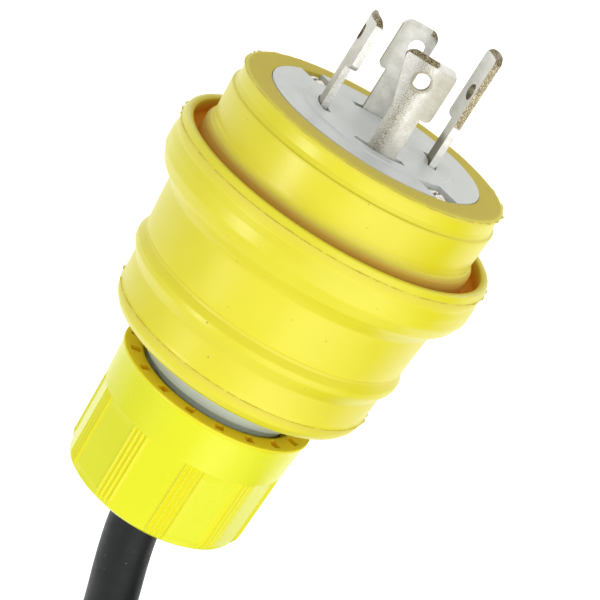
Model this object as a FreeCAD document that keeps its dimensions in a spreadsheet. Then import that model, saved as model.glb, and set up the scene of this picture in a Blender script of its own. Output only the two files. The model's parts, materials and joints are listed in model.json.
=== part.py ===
import FreeCAD, Part
import math
import os
import re
import Sketcher

# Shore power cord: a locking plug and a locking connector, each in a yellow rubber boot,
# joined by a heavy four-core cord that is put away in a coil behind the plug.
#
# World frame, mm: +Z up from the floor, the plug's axis along X, its blades towards +X,
# and the origin on the floor under the middle of the plug.
# Each end is drawn in its own frame first: X along its axis, 0 at the grey disc's face,
# negative behind it. A depth below is a distance behind that face.

# Sizes in mm and degrees. A text is a size that follows from the ones before it.
SIZES = {
    "cut_past": 1.0,
    # cord and its cores
    "cord_radius": 7.75,
    "core_wire": 2.2,
    "core_wire_play": 0.2,
    "core_wire_circle": "(core_wire + core_wire_play) * sqrt(2)",
    # boot, radii
    "insert_bore": 31.75,
    "boot_wall": 8.3,
    "nose_radius": "insert_bore + boot_wall",
    "lip_sunk": 0.35,
    "lip_radius": "nose_radius - lip_sunk",
    "lip_band": 1.6,
    "lip_inner": "lip_radius - lip_band",
    "neck_sunk": 0.95,
    "neck_radius": "nose_radius - neck_sunk",
    "root_rise": 0.95,
    "gap_inner": "nose_radius + root_rise",
    "gap_width": 3.4,
    "gap_outer": "gap_inner + gap_width",
    "shroud_wall": 2.3,
    "shroud_lip": "gap_outer + shroud_wall",
    "flash_rise": 0.95,
    "shroud_radius": "shroud_lip + flash_rise",
    "waist_fall": 1.05,
    "shroud_waist": "shroud_radius - waist_fall",
    "bulge_lift": 0.4,
    "bulge_radius": "shroud_waist + bulge_lift",
    "bulge_drop": 1.8,
    "cone_rise": 1.05,
    "cone_radius": "nose_radius + cone_rise",
    "cone_taper": 1.0,
    "cone_end_radius": "cone_radius - cone_taper",
    "groove_sunk": 0.5,
    "groove_radius": "cone_end_radius - groove_sunk",
    "rib_height": 1.6,
    "rib_radius": "groove_radius + rib_height",
    "rear_sunk": 1.1,
    "rear_radius": "cone_end_radius - rear_sunk",
    "rear_taper": 0.4,
    "rear_end_radius": "rear_radius - rear_taper",
    "flange_height": 0.65,
    "flange_radius": "rear_end_radius + flange_height",
    "flange_taper": 1.25,
    "shoulder_radius": "flange_radius - flange_taper",
    "shoulder_drop": 2.1,
    "boot_rear_radius": "shoulder_radius - shoulder_drop",
    "boot_round": 3.2,
    # boot, depths from the front ring back to the rear face
    "lip_sink": 0.5,
    "lip_front": 0.9,
    "lip_fall": 1.5,
    "neck_front": "lip_front + lip_fall",
    "neck_length": 2.6,
    "neck_back": "neck_front + neck_length",
    "nose_rise": 1.65,
    "nose_front": "neck_back + nose_rise",
    "nose_length": 9.85,
    "nose_back": "nose_front + nose_length",
    "root_flare": 2.5,
    "root_depth": "nose_back + root_flare",
    "shroud_drop": 0.3,
    "shroud_front": "root_depth + shroud_drop",
    "gap_depth": 4.7,
    "gap_floor": "shroud_front + gap_depth",
    "flash_run": 2.0,
    "flash_depth": "shroud_front + flash_run",
    "waist_run": 3.2,
    "waist_depth": "flash_depth + waist_run",
    "bulge_rise": 2.5,
    "bulge_front": "waist_depth + bulge_rise",
    "bulge_length": 3.0,
    "bulge_back": "bulge_front + bulge_length",
    "bulge_run": 3.6,
    "cone_lead": 4.4,
    "cone_front": "bulge_back + bulge_run + cone_lead",
    "cone_length": 14.4,
    "cone_back": "cone_front + cone_length",
    "groove_run": 0.8,
    "groove_depth": "cone_back + groove_run",
    "rib_rise": 2.3,
    "rib_front": "groove_depth + rib_rise",
    "rib_length": 1.5,
    "rib_back": "rib_front + rib_length",
    "rib_fall": 3.9,
    "rib_foot": "rib_back + rib_fall",
    "rear_length": 7.5,
    "rear_end": "rib_foot + rear_length",
    "flange_rise": 0.8,
    "flange_depth": "rear_end + flange_rise",
    "flange_length": 3.8,
    "shoulder_depth": "flange_depth + flange_length",
    "shoulder_run": 2.3,
    "boot_rear": "shoulder_depth + shoulder_run",
    # boot of the connector: skirt that goes over the plug's nose and into the gap in its shroud
    "skirt_floor": 0.3,
    "skirt_end_play": 2.0,
    "skirt_length": "gap_floor - skirt_end_play",
    "skirt_seat_step": 1.0,
    "skirt_seat": "root_depth - skirt_seat_step",
    "skirt_play": 0.3,
    "skirt_wall_play": 0.5,
    "skirt_outer": "gap_outer - skirt_wall_play",
    "skirt_edge": 1.2,
    "grip_rise": 2.0,
    "grip_height": 1.3,
    "grip_radius": "skirt_outer + grip_height",
    "grip_front": 3.0,
    "grip_length": 4.5,
    "grip_back": "grip_front + grip_length",
    # blades
    "blade_turn": 11.5,
    "blade_inner": 16.0,
    "blade_thick": 1.8,
    "blade_outer": "blade_inner + blade_thick",
    "blade_reach": 27.6,
    "long_reach": 33.8,
    "blade_half": 3.96,
    "neck_angle": "asin(blade_half / blade_inner) / 1 deg",
    "hook_front": 12.4,
    "hook_reach": 6.8,
    "hook_angle": "asin(hook_reach / blade_outer) / 1 deg",
    "hook_round": 1.5,
    "tip_round": 2.6,
    "tip_bevel": 1.4,
    "tip_thin": 0.5,
    "flare_front": 11.8,
    "flare_back": "blade_reach - tip_round",
    "flare_reach": 7.7,
    "flare_angle": "asin(flare_reach / blade_outer) / 1 deg",
    "blade_hole": 2.3,
    "hole_inset": 6.4,
    "blade_hole_at": "blade_reach - hole_inset",
    "ground_hole_shift": 0.9,
    "long_hole_shift": 2.4,
    # spring contacts of the connector, deep enough for the blades
    "front_wall": 3.5,
    "contact_lead": 0.5,
    "contact_front": "front_wall + contact_lead",
    "contact_room": 0.6,
    "contact_foot": "long_reach + contact_room",
    "contact_floor": 1.6,
    "contact_base": "contact_foot + contact_floor",
    "contact_wall": 0.7,
    "contact_play": 0.6,
    "contact_low": "blade_inner - contact_play - contact_wall",
    "contact_high": "blade_outer + contact_play + contact_wall",
    "cavity_play": 0.35,
    "cavity_turn": 12.0,
    "contact_side": 1.0,
    # face insert: disc, hub, slots and the two screw notches in its rim
    "insert_play": 0.1,
    "face_step_radius": 22.5,
    "face_step": 0.35,
    "disc_depth": 8.0,
    "hub_play": 0.35,
    "hub_radius": "insert_bore - hub_play",
    "plug_hub_depth": 20.0,
    "connector_hub_depth": "contact_base",
    "slot_play": 0.4,
    "plug_slot_side": 1.0,
    "connector_slot_side": 4.0,
    "notch_angle": -51.5,
    "notch_width": 8.3,
    "notch_reach": 8.15,
    "notch_inner": "insert_bore - notch_reach",
    "notch_depth": 4.0,
    # clamps and terminal block behind the deeper of the two inserts
    "block_gap": 0.3,
    "tab_run": 2.0,
    "tab_depth": "connector_hub_depth + tab_run",
    "tab_side": 1.0,
    "clamp_shift": 1.0,
    "clamp_circle": "blade_inner + clamp_shift",
    "clamp_size": 9.4,
    "clamp_length": 8.0,
    "clamp_back": "tab_depth + clamp_length",
    "clamp_play": 0.3,
    "clamp_bore_play": 0.1,
    "block_rear_wall": 1.0,
    "core_front": "clamp_back + block_rear_wall",
    # screws
    "screw_run": 4.0,
    "screw_depth": "tab_depth + screw_run",
    "screw_shank": 1.9,
    "screw_play": 0.1,
    "screw_head": 3.2,
    "screw_show": 3.3,
    "screw_head_low": "clamp_circle + clamp_size / 2 + screw_show",
    "head_height": 2.6,
    "screw_head_high": "screw_head_low + head_height",
    "assembly_inset": 3.95,
    "assembly_circle": "insert_bore - assembly_inset",
    "assembly_count": 2,
    "assembly_head_front": 1.8,
    "assembly_grip": 11.7,
    "assembly_end": "core_front + assembly_grip",
    # core body inside the boot, with its threaded spigot
    "core_play": 0.2,
    "core_step": 3.25,
    "core_radius": "insert_bore + core_step",
    "boot_rear_wall": 3.6,
    "core_back": "boot_rear - boot_rear_wall",
    "core_wall": 11.0,
    "core_hollow": "core_radius - core_wall",
    "core_rear_wall": 3.8,
    "hollow_back": "core_back - core_rear_wall",
    "neck_play": 1.25,
    "neck_bore": "cord_radius + neck_play",
    "thread_radius": 22.0,
    "collar_step": 3.0,
    "collar_radius": "thread_radius + collar_step",
    "collar_show": 7.1,
    "collar_back": "boot_rear + collar_show",
    "spigot_length": 23.6,
    "thread_back": "collar_back + spigot_length",
    "spigot_wall": 4.0,
    "mouth_bore": "thread_radius - spigot_wall",
    "mouth_depth": 16.0,
    "mouth_front": "thread_back - mouth_depth",
    # seal ring between the boot and the collar
    "seal_inset": 1.7,
    "seal_depth": "boot_rear - seal_inset",
    "seal_radius": 0.9,
    "seal_play": 0.02,
    # grommet and slip washer
    "grommet_room": 2.0,
    "grommet_front": "mouth_front + grommet_room",
    "grommet_play": 0.2,
    "grommet_grip": 0.15,
    "flange_gap": 0.2,
    "flange_inset": 2.0,
    "grommet_flange": "thread_radius - flange_inset",
    "grommet_flange_thick": 5.8,
    "grommet_back": "thread_back + flange_gap + grommet_flange_thick",
    "washer_gap": 0.2,
    "washer_front": "grommet_back + washer_gap",
    "washer_thick": 2.2,
    "washer_bore_play": 1.15,
    "washer_inner": "cord_radius + washer_bore_play",
    "cavity_room": 0.3,
    "cavity_radius": "grommet_flange + cavity_room",
    "washer_side_play": 0.5,
    "washer_radius": "cavity_radius - washer_side_play",
    "washer_play": 0.3,
    # cord nut
    "nut_turn": 13.7,
    "nut_gap": 1.7,
    "nut_front": "collar_back + nut_gap",
    "nut_mouth_play": 1.8,
    "nut_hole": "thread_radius + nut_mouth_play",
    "nut_hole_depth": 2.4,
    "nut_wall": 6.4,
    "nut_band_radius": "thread_radius + nut_wall",
    "band_taper": 0.7,
    "nut_band_front": "nut_band_radius + band_taper",
    "nut_lip": 1.2,
    "nut_lip_flare": 0.55,
    "nut_lip_radius": "nut_band_front + nut_lip_flare",
    "nut_band_length": 12.9,
    "nut_band_back": "nut_front + nut_band_length",
    "thread_play": 0.06,
    "thread_runout": 1.0,
    "nut_thread_back": "thread_back + thread_runout",
    "nut_rear_play": 1.55,
    "nut_rear_hole": "cord_radius + nut_rear_play",
    "nut_wall_front": "washer_front + washer_thick + washer_play",
    "nut_rear_wall": 8.1,
    "nut_rear": "nut_wall_front + nut_rear_wall",
    "nut_edge_run": 1.7,
    "nut_edge_depth": "nut_rear - nut_edge_run",
    "edge_taper": 1.5,
    "nut_edge_radius": "nut_band_radius - edge_taper",
    "nut_round": 1.9,
    "ridge_inset": 2.1,
    "ridge_back": "nut_edge_depth - ridge_inset",
    "ridge_drop": 0.7,
    "ridge_groups": 10,
    "ridges_in_group": 4,
    "ridge_pitch": 4.0,
    "ridge_radius": 0.8,
    "ridge_height": 0.5,
    "flute_sunk": 1.6,
    "flute_bottom": "nut_band_radius - flute_sunk",
    "flute_radius": 24.6,
    "recess_count": 18,
    "recess_inset": 2.6,
    "recess_circle": "nut_hole + recess_inset",
    "recess_size": 3.2,
    "recess_deep": 3.0,
    "recess_phase": 0.8,
    # where the cord is stripped and how its cores run
    "jacket_show": 1.4,
    "jacket_end": "hollow_back - jacket_show",
    "wire_straight": 1.5,
    "wire_out": 1.0,
    "wire_back": "core_front + wire_out",
    "wire_stop": 2.5,
    "wire_end": "tab_depth + wire_stop",
    # straight lengths of cord behind the nuts, before the coil and after it
    "plug_exit_straight": 10.9,
    "connector_exit_straight": 18.5,
    "coil_entry_straight": 18.9,
    "coil_exit_straight": 16.8,
    # where the connector lies
    "connector_ahead": 43.4,
    "connector_side": 196.0,
    # coil of the cord that is put away
    "coil_centre_back": 230.4,
    "coil_centre_side": 122.0,
    "coil_outer": 113.1,
    "turn_gap": 0.5,
    "coil_first_angle": 90.0,
    "coil_turns": 13.5778,
    "coil_layers": 4,
    "arcs_in_layer": 13,
    "straight_end": 15.5,
}

# The cord's way from the plug's nut to the coil, and from the coil to the connector's nut:
# points chosen by hand, mm in the world frame, between the straight lengths at both ends.
RUN_POINTS = [
    (-101.6, -1.1, 46.7),
    (-118.9, -3.6, 43.5),
    (-137.2, -5.6, 35.9),
    (-160.6, -7.5, 19.2),
    (-178.3, -8.4, 11.5),
]
TAIL_POINTS = [
    (-133.3, -200.6, 53.2),
    (-115.9, -196.6, 48.8),
]
CORES = ("green", "black", "white", "red")
CORE_COUNT = str(len(CORES))
CORE_ANGLE = 360 // len(CORES)
CONTACT_NAMES = ("ground", "line_x", "neutral", "line_y")
# One blade is longer than the others, and two have their hole off the middle
LONG_BLADE = "blade_line_x"
HOLE_SHIFTS = {"blade_ground": "-ground_hole_shift", LONG_BLADE: "long_hole_shift"}

document = FreeCAD.newDocument("shore_power_cord")
sheet = document.addObject("Spreadsheet::Sheet", "Sizes")
for row, (alias, amount) in enumerate(SIZES.items(), 1):
    sheet.set(f"A{row}", alias)
    sheet.set(f"B{row}", f"={amount}")
    sheet.setAlias(f"B{row}", alias)
document.recompute()
nodes = []


# Sizes as expressions

def cells(text):
    """The same expression with each size's name pointing at its cell."""
    return re.sub(r"[a-z_]+", lambda m: "Sizes." + m.group(0) if m.group(0) in SIZES else m.group(0), text)


def number(text):
    """The value that an expression of sizes has now."""
    return float(sheet.evalExpression(cells(text)))


def bind(thing, **texts):
    """Bind properties, with double underscores for dots, to expressions of sizes."""
    for name, text in texts.items():
        thing.setExpression(name.replace("__", "."), cells(text))


# Sketches

def arc_between(start, end, bend):
    """The arc of radius |bend| from start to end, turning left where bend is positive."""
    middle = (start + end) * 0.5
    across = end - start
    rise = math.sqrt(max(bend * bend - across.Length ** 2 / 4, 0))
    left = FreeCAD.Vector(-across.y, across.x, 0).normalize()
    centre = middle + left * math.copysign(rise, bend)
    angles = [math.atan2(p.y - centre.y, p.x - centre.x) for p in (start, end)]
    if bend < 0:
        angles.reverse()
    return Part.ArcOfCircle(Part.Circle(centre, FreeCAD.Vector(0, 0, 1), abs(bend)), *angles)


def draw(sketch, corners, closed=True):
    """Draw corners (x, y) or (x, y, bend of the edge that leaves it), each text bound to cells."""
    spots = [FreeCAD.Vector(number(c[0]), number(c[1]), 0) for c in corners]
    count = len(corners) if closed else len(corners) - 1
    ends = []
    for i in range(count):
        start, end = spots[i], spots[(i + 1) % len(spots)]
        if len(corners[i]) == 3:
            bend = number(corners[i][2])
            edge = sketch.addGeometry(arc_between(start, end, bend), False)
            ends.append((edge, 1, 2) if bend > 0 else (edge, 2, 1))
            radius = sketch.addConstraint(Sketcher.Constraint("Radius", edge, abs(bend)))
            sketch.setExpression(f"Constraints[{radius}]", cells(f"abs({corners[i][2]})"))
        else:
            edge = sketch.addGeometry(Part.LineSegment(start, end), False)
            ends.append((edge, 1, 2))
    for i in range(count if closed else count - 1):
        edge, _, last = ends[i]
        next_edge, next_first, _ = ends[(i + 1) % count]
        sketch.addConstraint(Sketcher.Constraint("Coincident", edge, last, next_edge, next_first))
    marks = [(edge, first) for edge, first, last in ends]
    if not closed:
        marks.append((ends[-1][0], ends[-1][2]))
    for corner, spot, (edge, end) in zip(corners, spots, marks):
        for kind, text, amount in (("DistanceX", corner[0], spot.x), ("DistanceY", corner[1], spot.y)):
            index = sketch.addConstraint(Sketcher.Constraint(kind, -1, 1, edge, end, amount))
            sketch.setExpression(f"Constraints[{index}]", cells(text))


def draw_circle(sketch, x, y, radius):
    """Draw a circle whose middle and radius are bound to cells."""
    spot = FreeCAD.Vector(number(x), number(y), 0)
    edge = sketch.addGeometry(Part.Circle(spot, FreeCAD.Vector(0, 0, 1), number(radius)), False)
    for kind, text, amount in (("DistanceX", x, spot.x), ("DistanceY", y, spot.y)):
        index = sketch.addConstraint(Sketcher.Constraint(kind, -1, 1, edge, 3, amount))
        sketch.setExpression(f"Constraints[{index}]", cells(text))
    index = sketch.addConstraint(Sketcher.Constraint("Radius", edge, number(radius)))
    sketch.setExpression(f"Constraints[{index}]", cells(radius))


def sector(inner, outer, first, last):
    """Corners of a piece of a ring between two radii and two angles."""
    return [
        (f"({inner}) * cos({first})", f"({inner}) * sin({first})"),
        (f"({outer}) * cos({first})", f"({outer}) * sin({first})", outer),
        (f"({outer}) * cos({last})", f"({outer}) * sin({last})"),
        (f"({inner}) * cos({last})", f"({inner}) * sin({last})", f"-({inner})"),
    ]


# Bodies and features

def origin_feature(body, role):
    return next(item for item in body.Origin.OriginFeatures if item.Role == role)


def new_body(label, group=False):
    body = document.addObject("PartDesign::Body", label)
    body.Label = label
    body.AllowCompound = group
    return body


def plane_sketch(body, role, offset=None):
    """An empty sketch on one of the body's own planes, moved along its normal by offset."""
    sketch = body.newObject("Sketcher::SketchObject", "outline")
    sketch.AttachmentSupport = (origin_feature(body, role), [""])
    sketch.MapMode = "FlatFace"
    if offset is not None:
        bind(sketch, AttachmentOffset__Base__z=offset)
    return sketch


def turned(body, corners):
    """Turn a closed outline of (along, radius) corners about the body's X axis."""
    sketch = plane_sketch(body, "XY_Plane")
    draw(sketch, corners)
    feature = body.newObject("PartDesign::Revolution", "turned")
    feature.Profile = sketch
    feature.ReferenceAxis = (sketch, ["H_Axis"])
    feature.Angle = 360
    return feature


def pushed(body, kind, corners, at, length, circles=()):
    """Pad or pocket an outline drawn square to the axis at X = at, backwards by length."""
    sketch = plane_sketch(body, "YZ_Plane", at)
    if corners:
        draw(sketch, corners)
    for circle in circles:
        draw_circle(sketch, *circle)
    document.recompute()
    before = 0 if body.Shape.isNull() else body.Shape.Volume
    feature = body.newObject("PartDesign::" + kind, kind.lower())
    feature.Profile = sketch
    feature.Reversed = kind == "Pad"
    bind(feature, Length=length)
    document.recompute()
    change = body.Shape.Volume - before
    if (change > 0) != (kind == "Pad") or abs(change) < 1e-3:
        raise ValueError(f"{body.Label}: a {kind} changes the volume by {change:.3f}")
    return feature


def radial_cylinder(body, kind, at, low, high, radius):
    """A cylinder that stands square to the axis, from radius low to high, above the axis."""
    feature = body.newObject(f"PartDesign::{kind}Cylinder", "radial")
    bind(feature, Radius=radius, Height=f"{high} - ({low})")
    bind(feature, Placement__Base__x=at, Placement__Base__z=low)
    return feature


def around(body, feature, count, angle=360):
    """Repeat a feature evenly about the body's X axis."""
    pattern = body.newObject("PartDesign::PolarPattern", "around")
    pattern.Originals = [feature]
    pattern.Axis = (origin_feature(body, "X_Axis"), [""])
    pattern.Angle = angle
    bind(pattern, Occurrences=count)
    body.Tip = pattern
    document.recompute()
    return pattern


END_PLACES = {
    "plug": ("(nut_rear - long_reach) / 2", "0", "shroud_radius"),
    "connector": ("connector_ahead", "-connector_side", "grip_radius"),
}


def seat(thing, end, turn="0"):
    """Put a piece, drawn in its end's own frame, in its place in the world and list it."""
    x, y, z = END_PLACES[end]
    thing.Placement = FreeCAD.Placement(FreeCAD.Vector(), FreeCAD.Rotation(FreeCAD.Vector(1, 0, 0), 10))
    bind(thing, Placement__Base__x=x, Placement__Base__y=y, Placement__Base__z=z)
    bind(thing, Placement__Rotation__Angle=turn)
    nodes.append(thing)


# Boots

def boot_front(end):
    """Outline from the disc's bore outwards and back to the cone's front."""
    if end == "plug":
        return [
            ("-lip_sink", "insert_bore"),
            ("-lip_sink", "lip_inner"),
            ("-lip_front", "lip_radius"),
            ("-neck_front", "neck_radius"),
            ("-neck_back", "neck_radius"),
            ("-nose_front", "nose_radius"),
            ("-nose_back", "nose_radius"),
            ("-root_depth", "gap_inner"),
            ("-gap_floor", "gap_inner"),
            ("-gap_floor", "gap_outer"),
            ("-shroud_front", "gap_outer"),
            ("-shroud_front", "shroud_lip"),
            ("-flash_depth", "shroud_radius"),
            ("-waist_depth", "shroud_waist"),
            ("-bulge_front", "bulge_radius"),
            ("-bulge_back", "bulge_radius", "(bulge_run^2 + bulge_drop^2) / (2 * bulge_drop)"),
            ("-bulge_back - bulge_run", "bulge_radius - bulge_drop"),
        ]
    return [
        ("skirt_floor", "insert_bore"),
        ("skirt_floor", "nose_radius + skirt_play"),
        ("skirt_seat", "nose_radius + skirt_play"),
        ("skirt_seat + skirt_edge", "gap_inner + skirt_play"),
        ("skirt_length", "gap_inner + skirt_play"),
        ("skirt_length", "skirt_outer - skirt_edge", "-skirt_edge"),
        ("skirt_length - skirt_edge", "skirt_outer"),
        ("grip_rise", "skirt_outer"),
        ("-grip_front", "grip_radius"),
        ("-grip_back", "grip_radius"),
    ]


def boot(end):
    """Rubber boot: front, cone, rib and rear section, with the bore that holds the inside."""
    seal_outer = "collar_radius + core_play + 2 * seal_radius"
    body = new_body(f"{end}_boot")
    turned(body, boot_front(end) + [
        ("-cone_front", "cone_radius"),
        ("-cone_back", "cone_end_radius"),
        ("-groove_depth", "groove_radius"),
        ("-rib_front", "rib_radius"),
        ("-rib_back", "rib_radius"),
        ("-rib_foot", "rear_radius"),
        ("-rear_end", "rear_end_radius"),
        ("-flange_depth", "flange_radius"),
        ("-shoulder_depth", "shoulder_radius", "boot_round"),
        ("-boot_rear", "boot_rear_radius"),
        ("-boot_rear", "collar_radius + core_play"),
        ("-seal_depth - seal_radius", "collar_radius + core_play"),
        ("-seal_depth - seal_radius", seal_outer),
        ("-seal_depth + seal_radius", seal_outer),
        ("-seal_depth + seal_radius", "collar_radius + core_play"),
        ("-core_back - core_play", "collar_radius + core_play"),
        ("-core_back - core_play", "core_radius + core_play"),
        ("-core_front", "core_radius + core_play"),
        ("-core_front", "insert_bore"),
    ])
    seat(body, end)


# Face inserts

def blade_span(index, side):
    """First and last angle of blade number index, which hooks one way, with side more at each end."""
    middle = CORE_ANGLE * (index + 1)
    low = "flare_angle" if index == 0 else "neck_angle"
    return f"{middle} - {low} - ({side})", f"{middle} + hook_angle + ({side})"


def face_insert(end):
    """Grey disc on its hub, with a slot for each blade and two screw notches in its rim."""
    hub = f"{end}_hub_depth"
    disc = "(insert_bore - insert_play)"
    body = new_body(f"{end}_face_insert")
    turned(body, [
        ("0", "0"),
        ("0", "face_step_radius"),
        ("-face_step", "face_step_radius + face_step"),
        ("-face_step", disc),
        ("-disc_depth", disc),
        ("-disc_depth", "hub_radius"),
        (f"-{hub}", "hub_radius"),
        (f"-{hub}", "0"),
    ])
    for index in range(len(CORES)):
        first, last = blade_span(index, f"{end}_slot_side")
        slot = sector("blade_inner - slot_play", "blade_outer + slot_play", first, last)
        pushed(body, "Pocket", slot, "0", hub)
        if end == "connector":
            first, last = blade_span(index, "cavity_turn")
            cavity = sector("contact_low - cavity_play", "contact_high + cavity_play", first, last)
            pushed(body, "Pocket", cavity, "-front_wall", f"{hub} - front_wall")
    for side in (0, 180):
        turn = f"(notch_angle + {side})"
        pushed(body, "Pocket", notch_corners(turn), "0", "notch_depth")
        pushed(body, "Pocket", None, "0", hub, [assembly_hole(turn)])
    seat(body, end, "blade_turn")


def notch_corners(turn):
    """A notch in the disc's rim: its flat floor line, its two sides and an end past the rim."""
    past_rim = "(insert_bore + cut_past)"
    corners = []
    for away, side in (("notch_inner", -1), (past_rim, -1), (past_rim, 1), ("notch_inner", 1)):
        y = f"{away} * cos{turn} - {side} * notch_width / 2 * sin{turn}"
        z = f"{away} * sin{turn} + {side} * notch_width / 2 * cos{turn}"
        corners.append((y, z))
    return corners


def assembly_hole(turn="(notch_angle)"):
    """Circle of the hole that a long screw passes through."""
    return (f"assembly_circle * cos{turn}", f"assembly_circle * sin{turn}", "screw_shank + screw_play")


# Blades and contacts

def blade(name, index):
    """A curved blade: its outline, cut from a tube whose front edge is thinned all round."""
    reach = "long_reach" if name == LONG_BLADE else "blade_reach"
    hooked = [
        (f"{reach} - tip_round", "hook_reach", "-tip_round"),
        (reach, "hook_reach - tip_round"),
    ]
    plain_edge = [
        (reach, "-blade_half + tip_round", "-tip_round"),
        (f"{reach} - tip_round", "-blade_half"),
    ]
    flared_edge = [
        (reach, "-flare_reach + tip_round", "-tip_round"),
        ("flare_back", "-flare_reach"),
        ("flare_front", "-blade_half"),
    ]
    outline = document.addObject("Sketcher::SketchObject", f"{name}_outline")
    draw(outline, [
        ("-tab_depth", "-blade_half"),
        ("-tab_depth", "blade_half"),
        ("hook_front", "blade_half"),
        ("hook_front", "hook_reach - hook_round", "-hook_round"),
        ("hook_front + hook_round", "hook_reach"),
    ] + hooked + (flared_edge if index == 0 else plain_edge))
    draw_circle(outline, "blade_hole_at", HOLE_SHIFTS.get(name, "0"), "blade_hole")
    plate = document.addObject("Part::Extrusion", f"{name}_plate")
    plate.Base = outline
    plate.DirMode = "Custom"
    plate.Dir = FreeCAD.Vector(0, 0, -1)
    plate.Solid = True
    bind(plate, LengthFwd="blade_outer + cut_past")
    section = document.addObject("Sketcher::SketchObject", f"{name}_section")
    draw(section, [
        ("-tab_depth", "blade_inner"),
        ("-tab_depth", "blade_outer"),
        (f"{reach} - tip_bevel", "blade_outer"),
        (reach, "blade_outer - tip_thin"),
        (reach, "blade_inner + tip_thin"),
        (f"{reach} - tip_bevel", "blade_inner"),
    ])
    tube = document.addObject("Part::Revolution", f"{name}_tube")
    tube.Source = section
    tube.Axis = FreeCAD.Vector(1, 0, 0)
    tube.Angle = 360
    tube.Solid = True
    piece = document.addObject("Part::Common", name)
    piece.Base = plate
    piece.Tool = tube
    piece.Label = name
    seat(piece, "plug", f"blade_turn + {CORE_ANGLE * index} + 180")


def contact(name, index):
    """A spring contact: a cup that grips the blade from both sides, its foot and its tab."""
    body = new_body(name)
    first, last = blade_span(index, "cavity_turn - contact_side")
    outside = sector("contact_low", "contact_high", first, last)
    pushed(body, "Pad", outside, "-contact_front", "contact_base - contact_front")
    first, last = blade_span(index, "cavity_turn")
    inside = sector("contact_low + contact_wall", "contact_high - contact_wall", first, last)
    pushed(body, "Pocket", inside, "-contact_front", "contact_foot - contact_front")
    middle = CORE_ANGLE * (index + 1)
    tab = sector("blade_inner", "blade_outer", f"{middle} - neck_angle", f"{middle} + neck_angle")
    pushed(body, "Pad", tab, "-contact_base", "tab_depth - contact_base")
    seat(body, "connector", "blade_turn")


# Terminals

def terminal_block(end):
    """Block behind the insert, with a tab slot, a clamp pocket and a screw hole for each core."""
    front = f"({end}_hub_depth + block_gap)"
    body = new_body(f"{end}_terminal_block")
    depth = f"core_front - {front}"
    pushed(body, "Pad", None, f"-{front}", depth, [("0", "0", "hub_radius")])
    tab = sector("blade_inner - clamp_play", "blade_outer + clamp_play",
                 f"{CORE_ANGLE} - neck_angle - tab_side", f"{CORE_ANGLE} + neck_angle + tab_side")
    around(body, pushed(body, "Pocket", tab, f"-{front}", f"tab_depth - {front}"), CORE_COUNT)
    pocket = pushed(body, "Pocket", clamp_corners("clamp_play"), "-tab_depth", "core_front - tab_depth")
    around(body, pocket, CORE_COUNT)
    well = radial_cylinder(body, "Subtractive", "-screw_depth", "clamp_circle", "insert_bore + cut_past",
                           "screw_head + screw_play")
    around(body, well, CORE_COUNT)
    around(body, pushed(body, "Pocket", None, f"-{front}", depth, [assembly_hole()]), "assembly_count")
    seat(body, end, "blade_turn")


def clamp_corners(play):
    """Outline of one clamp above the axis, grown by play."""
    half = f"(clamp_size / 2 + {play})"
    return [
        (f"-{half}", f"clamp_circle - {half}"),
        (half, f"clamp_circle - {half}"),
        (half, f"clamp_circle + {half}"),
        (f"-{half}", f"clamp_circle + {half}"),
    ]


def clamp_plates(end):
    """Four brass clamps, each bored for a core from behind and for its screw from outside."""
    body = new_body(f"{end}_clamp_plates", group=True)
    plate = pushed(body, "Pad", clamp_corners("0"), "-tab_depth", "clamp_back - tab_depth")
    around(body, plate, CORE_COUNT)
    bore = ("0", "clamp_circle", "core_wire + clamp_bore_play")
    deep = "clamp_back - wire_end + cut_past"
    around(body, pushed(body, "Pocket", None, "-wire_end + cut_past", deep, [bore]), CORE_COUNT)
    way = radial_cylinder(body, "Subtractive", "-screw_depth", "clamp_circle", "clamp_circle + clamp_size",
                          "screw_shank + screw_play")
    around(body, way, CORE_COUNT)
    seat(body, end, "blade_turn")


def terminal_screws(end):
    """Four screws that press the cores in their clamps."""
    body = new_body(f"{end}_terminal_screws", group=True)
    tip = "clamp_circle + core_wire + clamp_bore_play"
    shank = radial_cylinder(body, "Additive", "-screw_depth", tip, "screw_head_low", "screw_shank")
    around(body, shank, CORE_COUNT)
    head = radial_cylinder(body, "Additive", "-screw_depth", "screw_head_low", "screw_head_high",
                           "screw_head")
    around(body, head, CORE_COUNT)
    seat(body, end, "blade_turn")


def assembly_screws(end):
    """Two long screws that hold the insert and the block to the core body."""
    body = new_body(f"{end}_assembly_screws", group=True)
    y, z, _ = assembly_hole()
    head_length = "notch_depth - assembly_head_front"
    head = pushed(body, "Pad", None, "-assembly_head_front", head_length, [(y, z, "screw_head")])
    around(body, head, "assembly_count")
    shank = pushed(body, "Pad", None, "-notch_depth", "assembly_end - notch_depth", [(y, z, "screw_shank")])
    around(body, shank, "assembly_count")
    seat(body, end, "blade_turn")


# Core body, seal, grommet, washer and nut

def core_body(end):
    """Hollow body in the boot, with the collar and the threaded spigot that the nut runs on."""
    body = new_body(f"{end}_core_body")
    turned(body, [
        ("-core_front", "core_hollow"),
        ("-core_front", "core_radius"),
        ("-core_back", "core_radius"),
        ("-core_back", "collar_radius"),
        ("-collar_back", "collar_radius"),
        ("-collar_back", "thread_radius"),
        ("-thread_back", "thread_radius"),
        ("-thread_back", "mouth_bore"),
        ("-mouth_front", "mouth_bore"),
        ("-mouth_front", "neck_bore"),
        ("-hollow_back", "neck_bore"),
        ("-hollow_back", "core_hollow"),
    ])
    deep = "assembly_end - core_front + cut_past"
    around(body, pushed(body, "Pocket", None, "-core_front", deep, [assembly_hole()]), "assembly_count")
    seat(body, end, "blade_turn")


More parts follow.
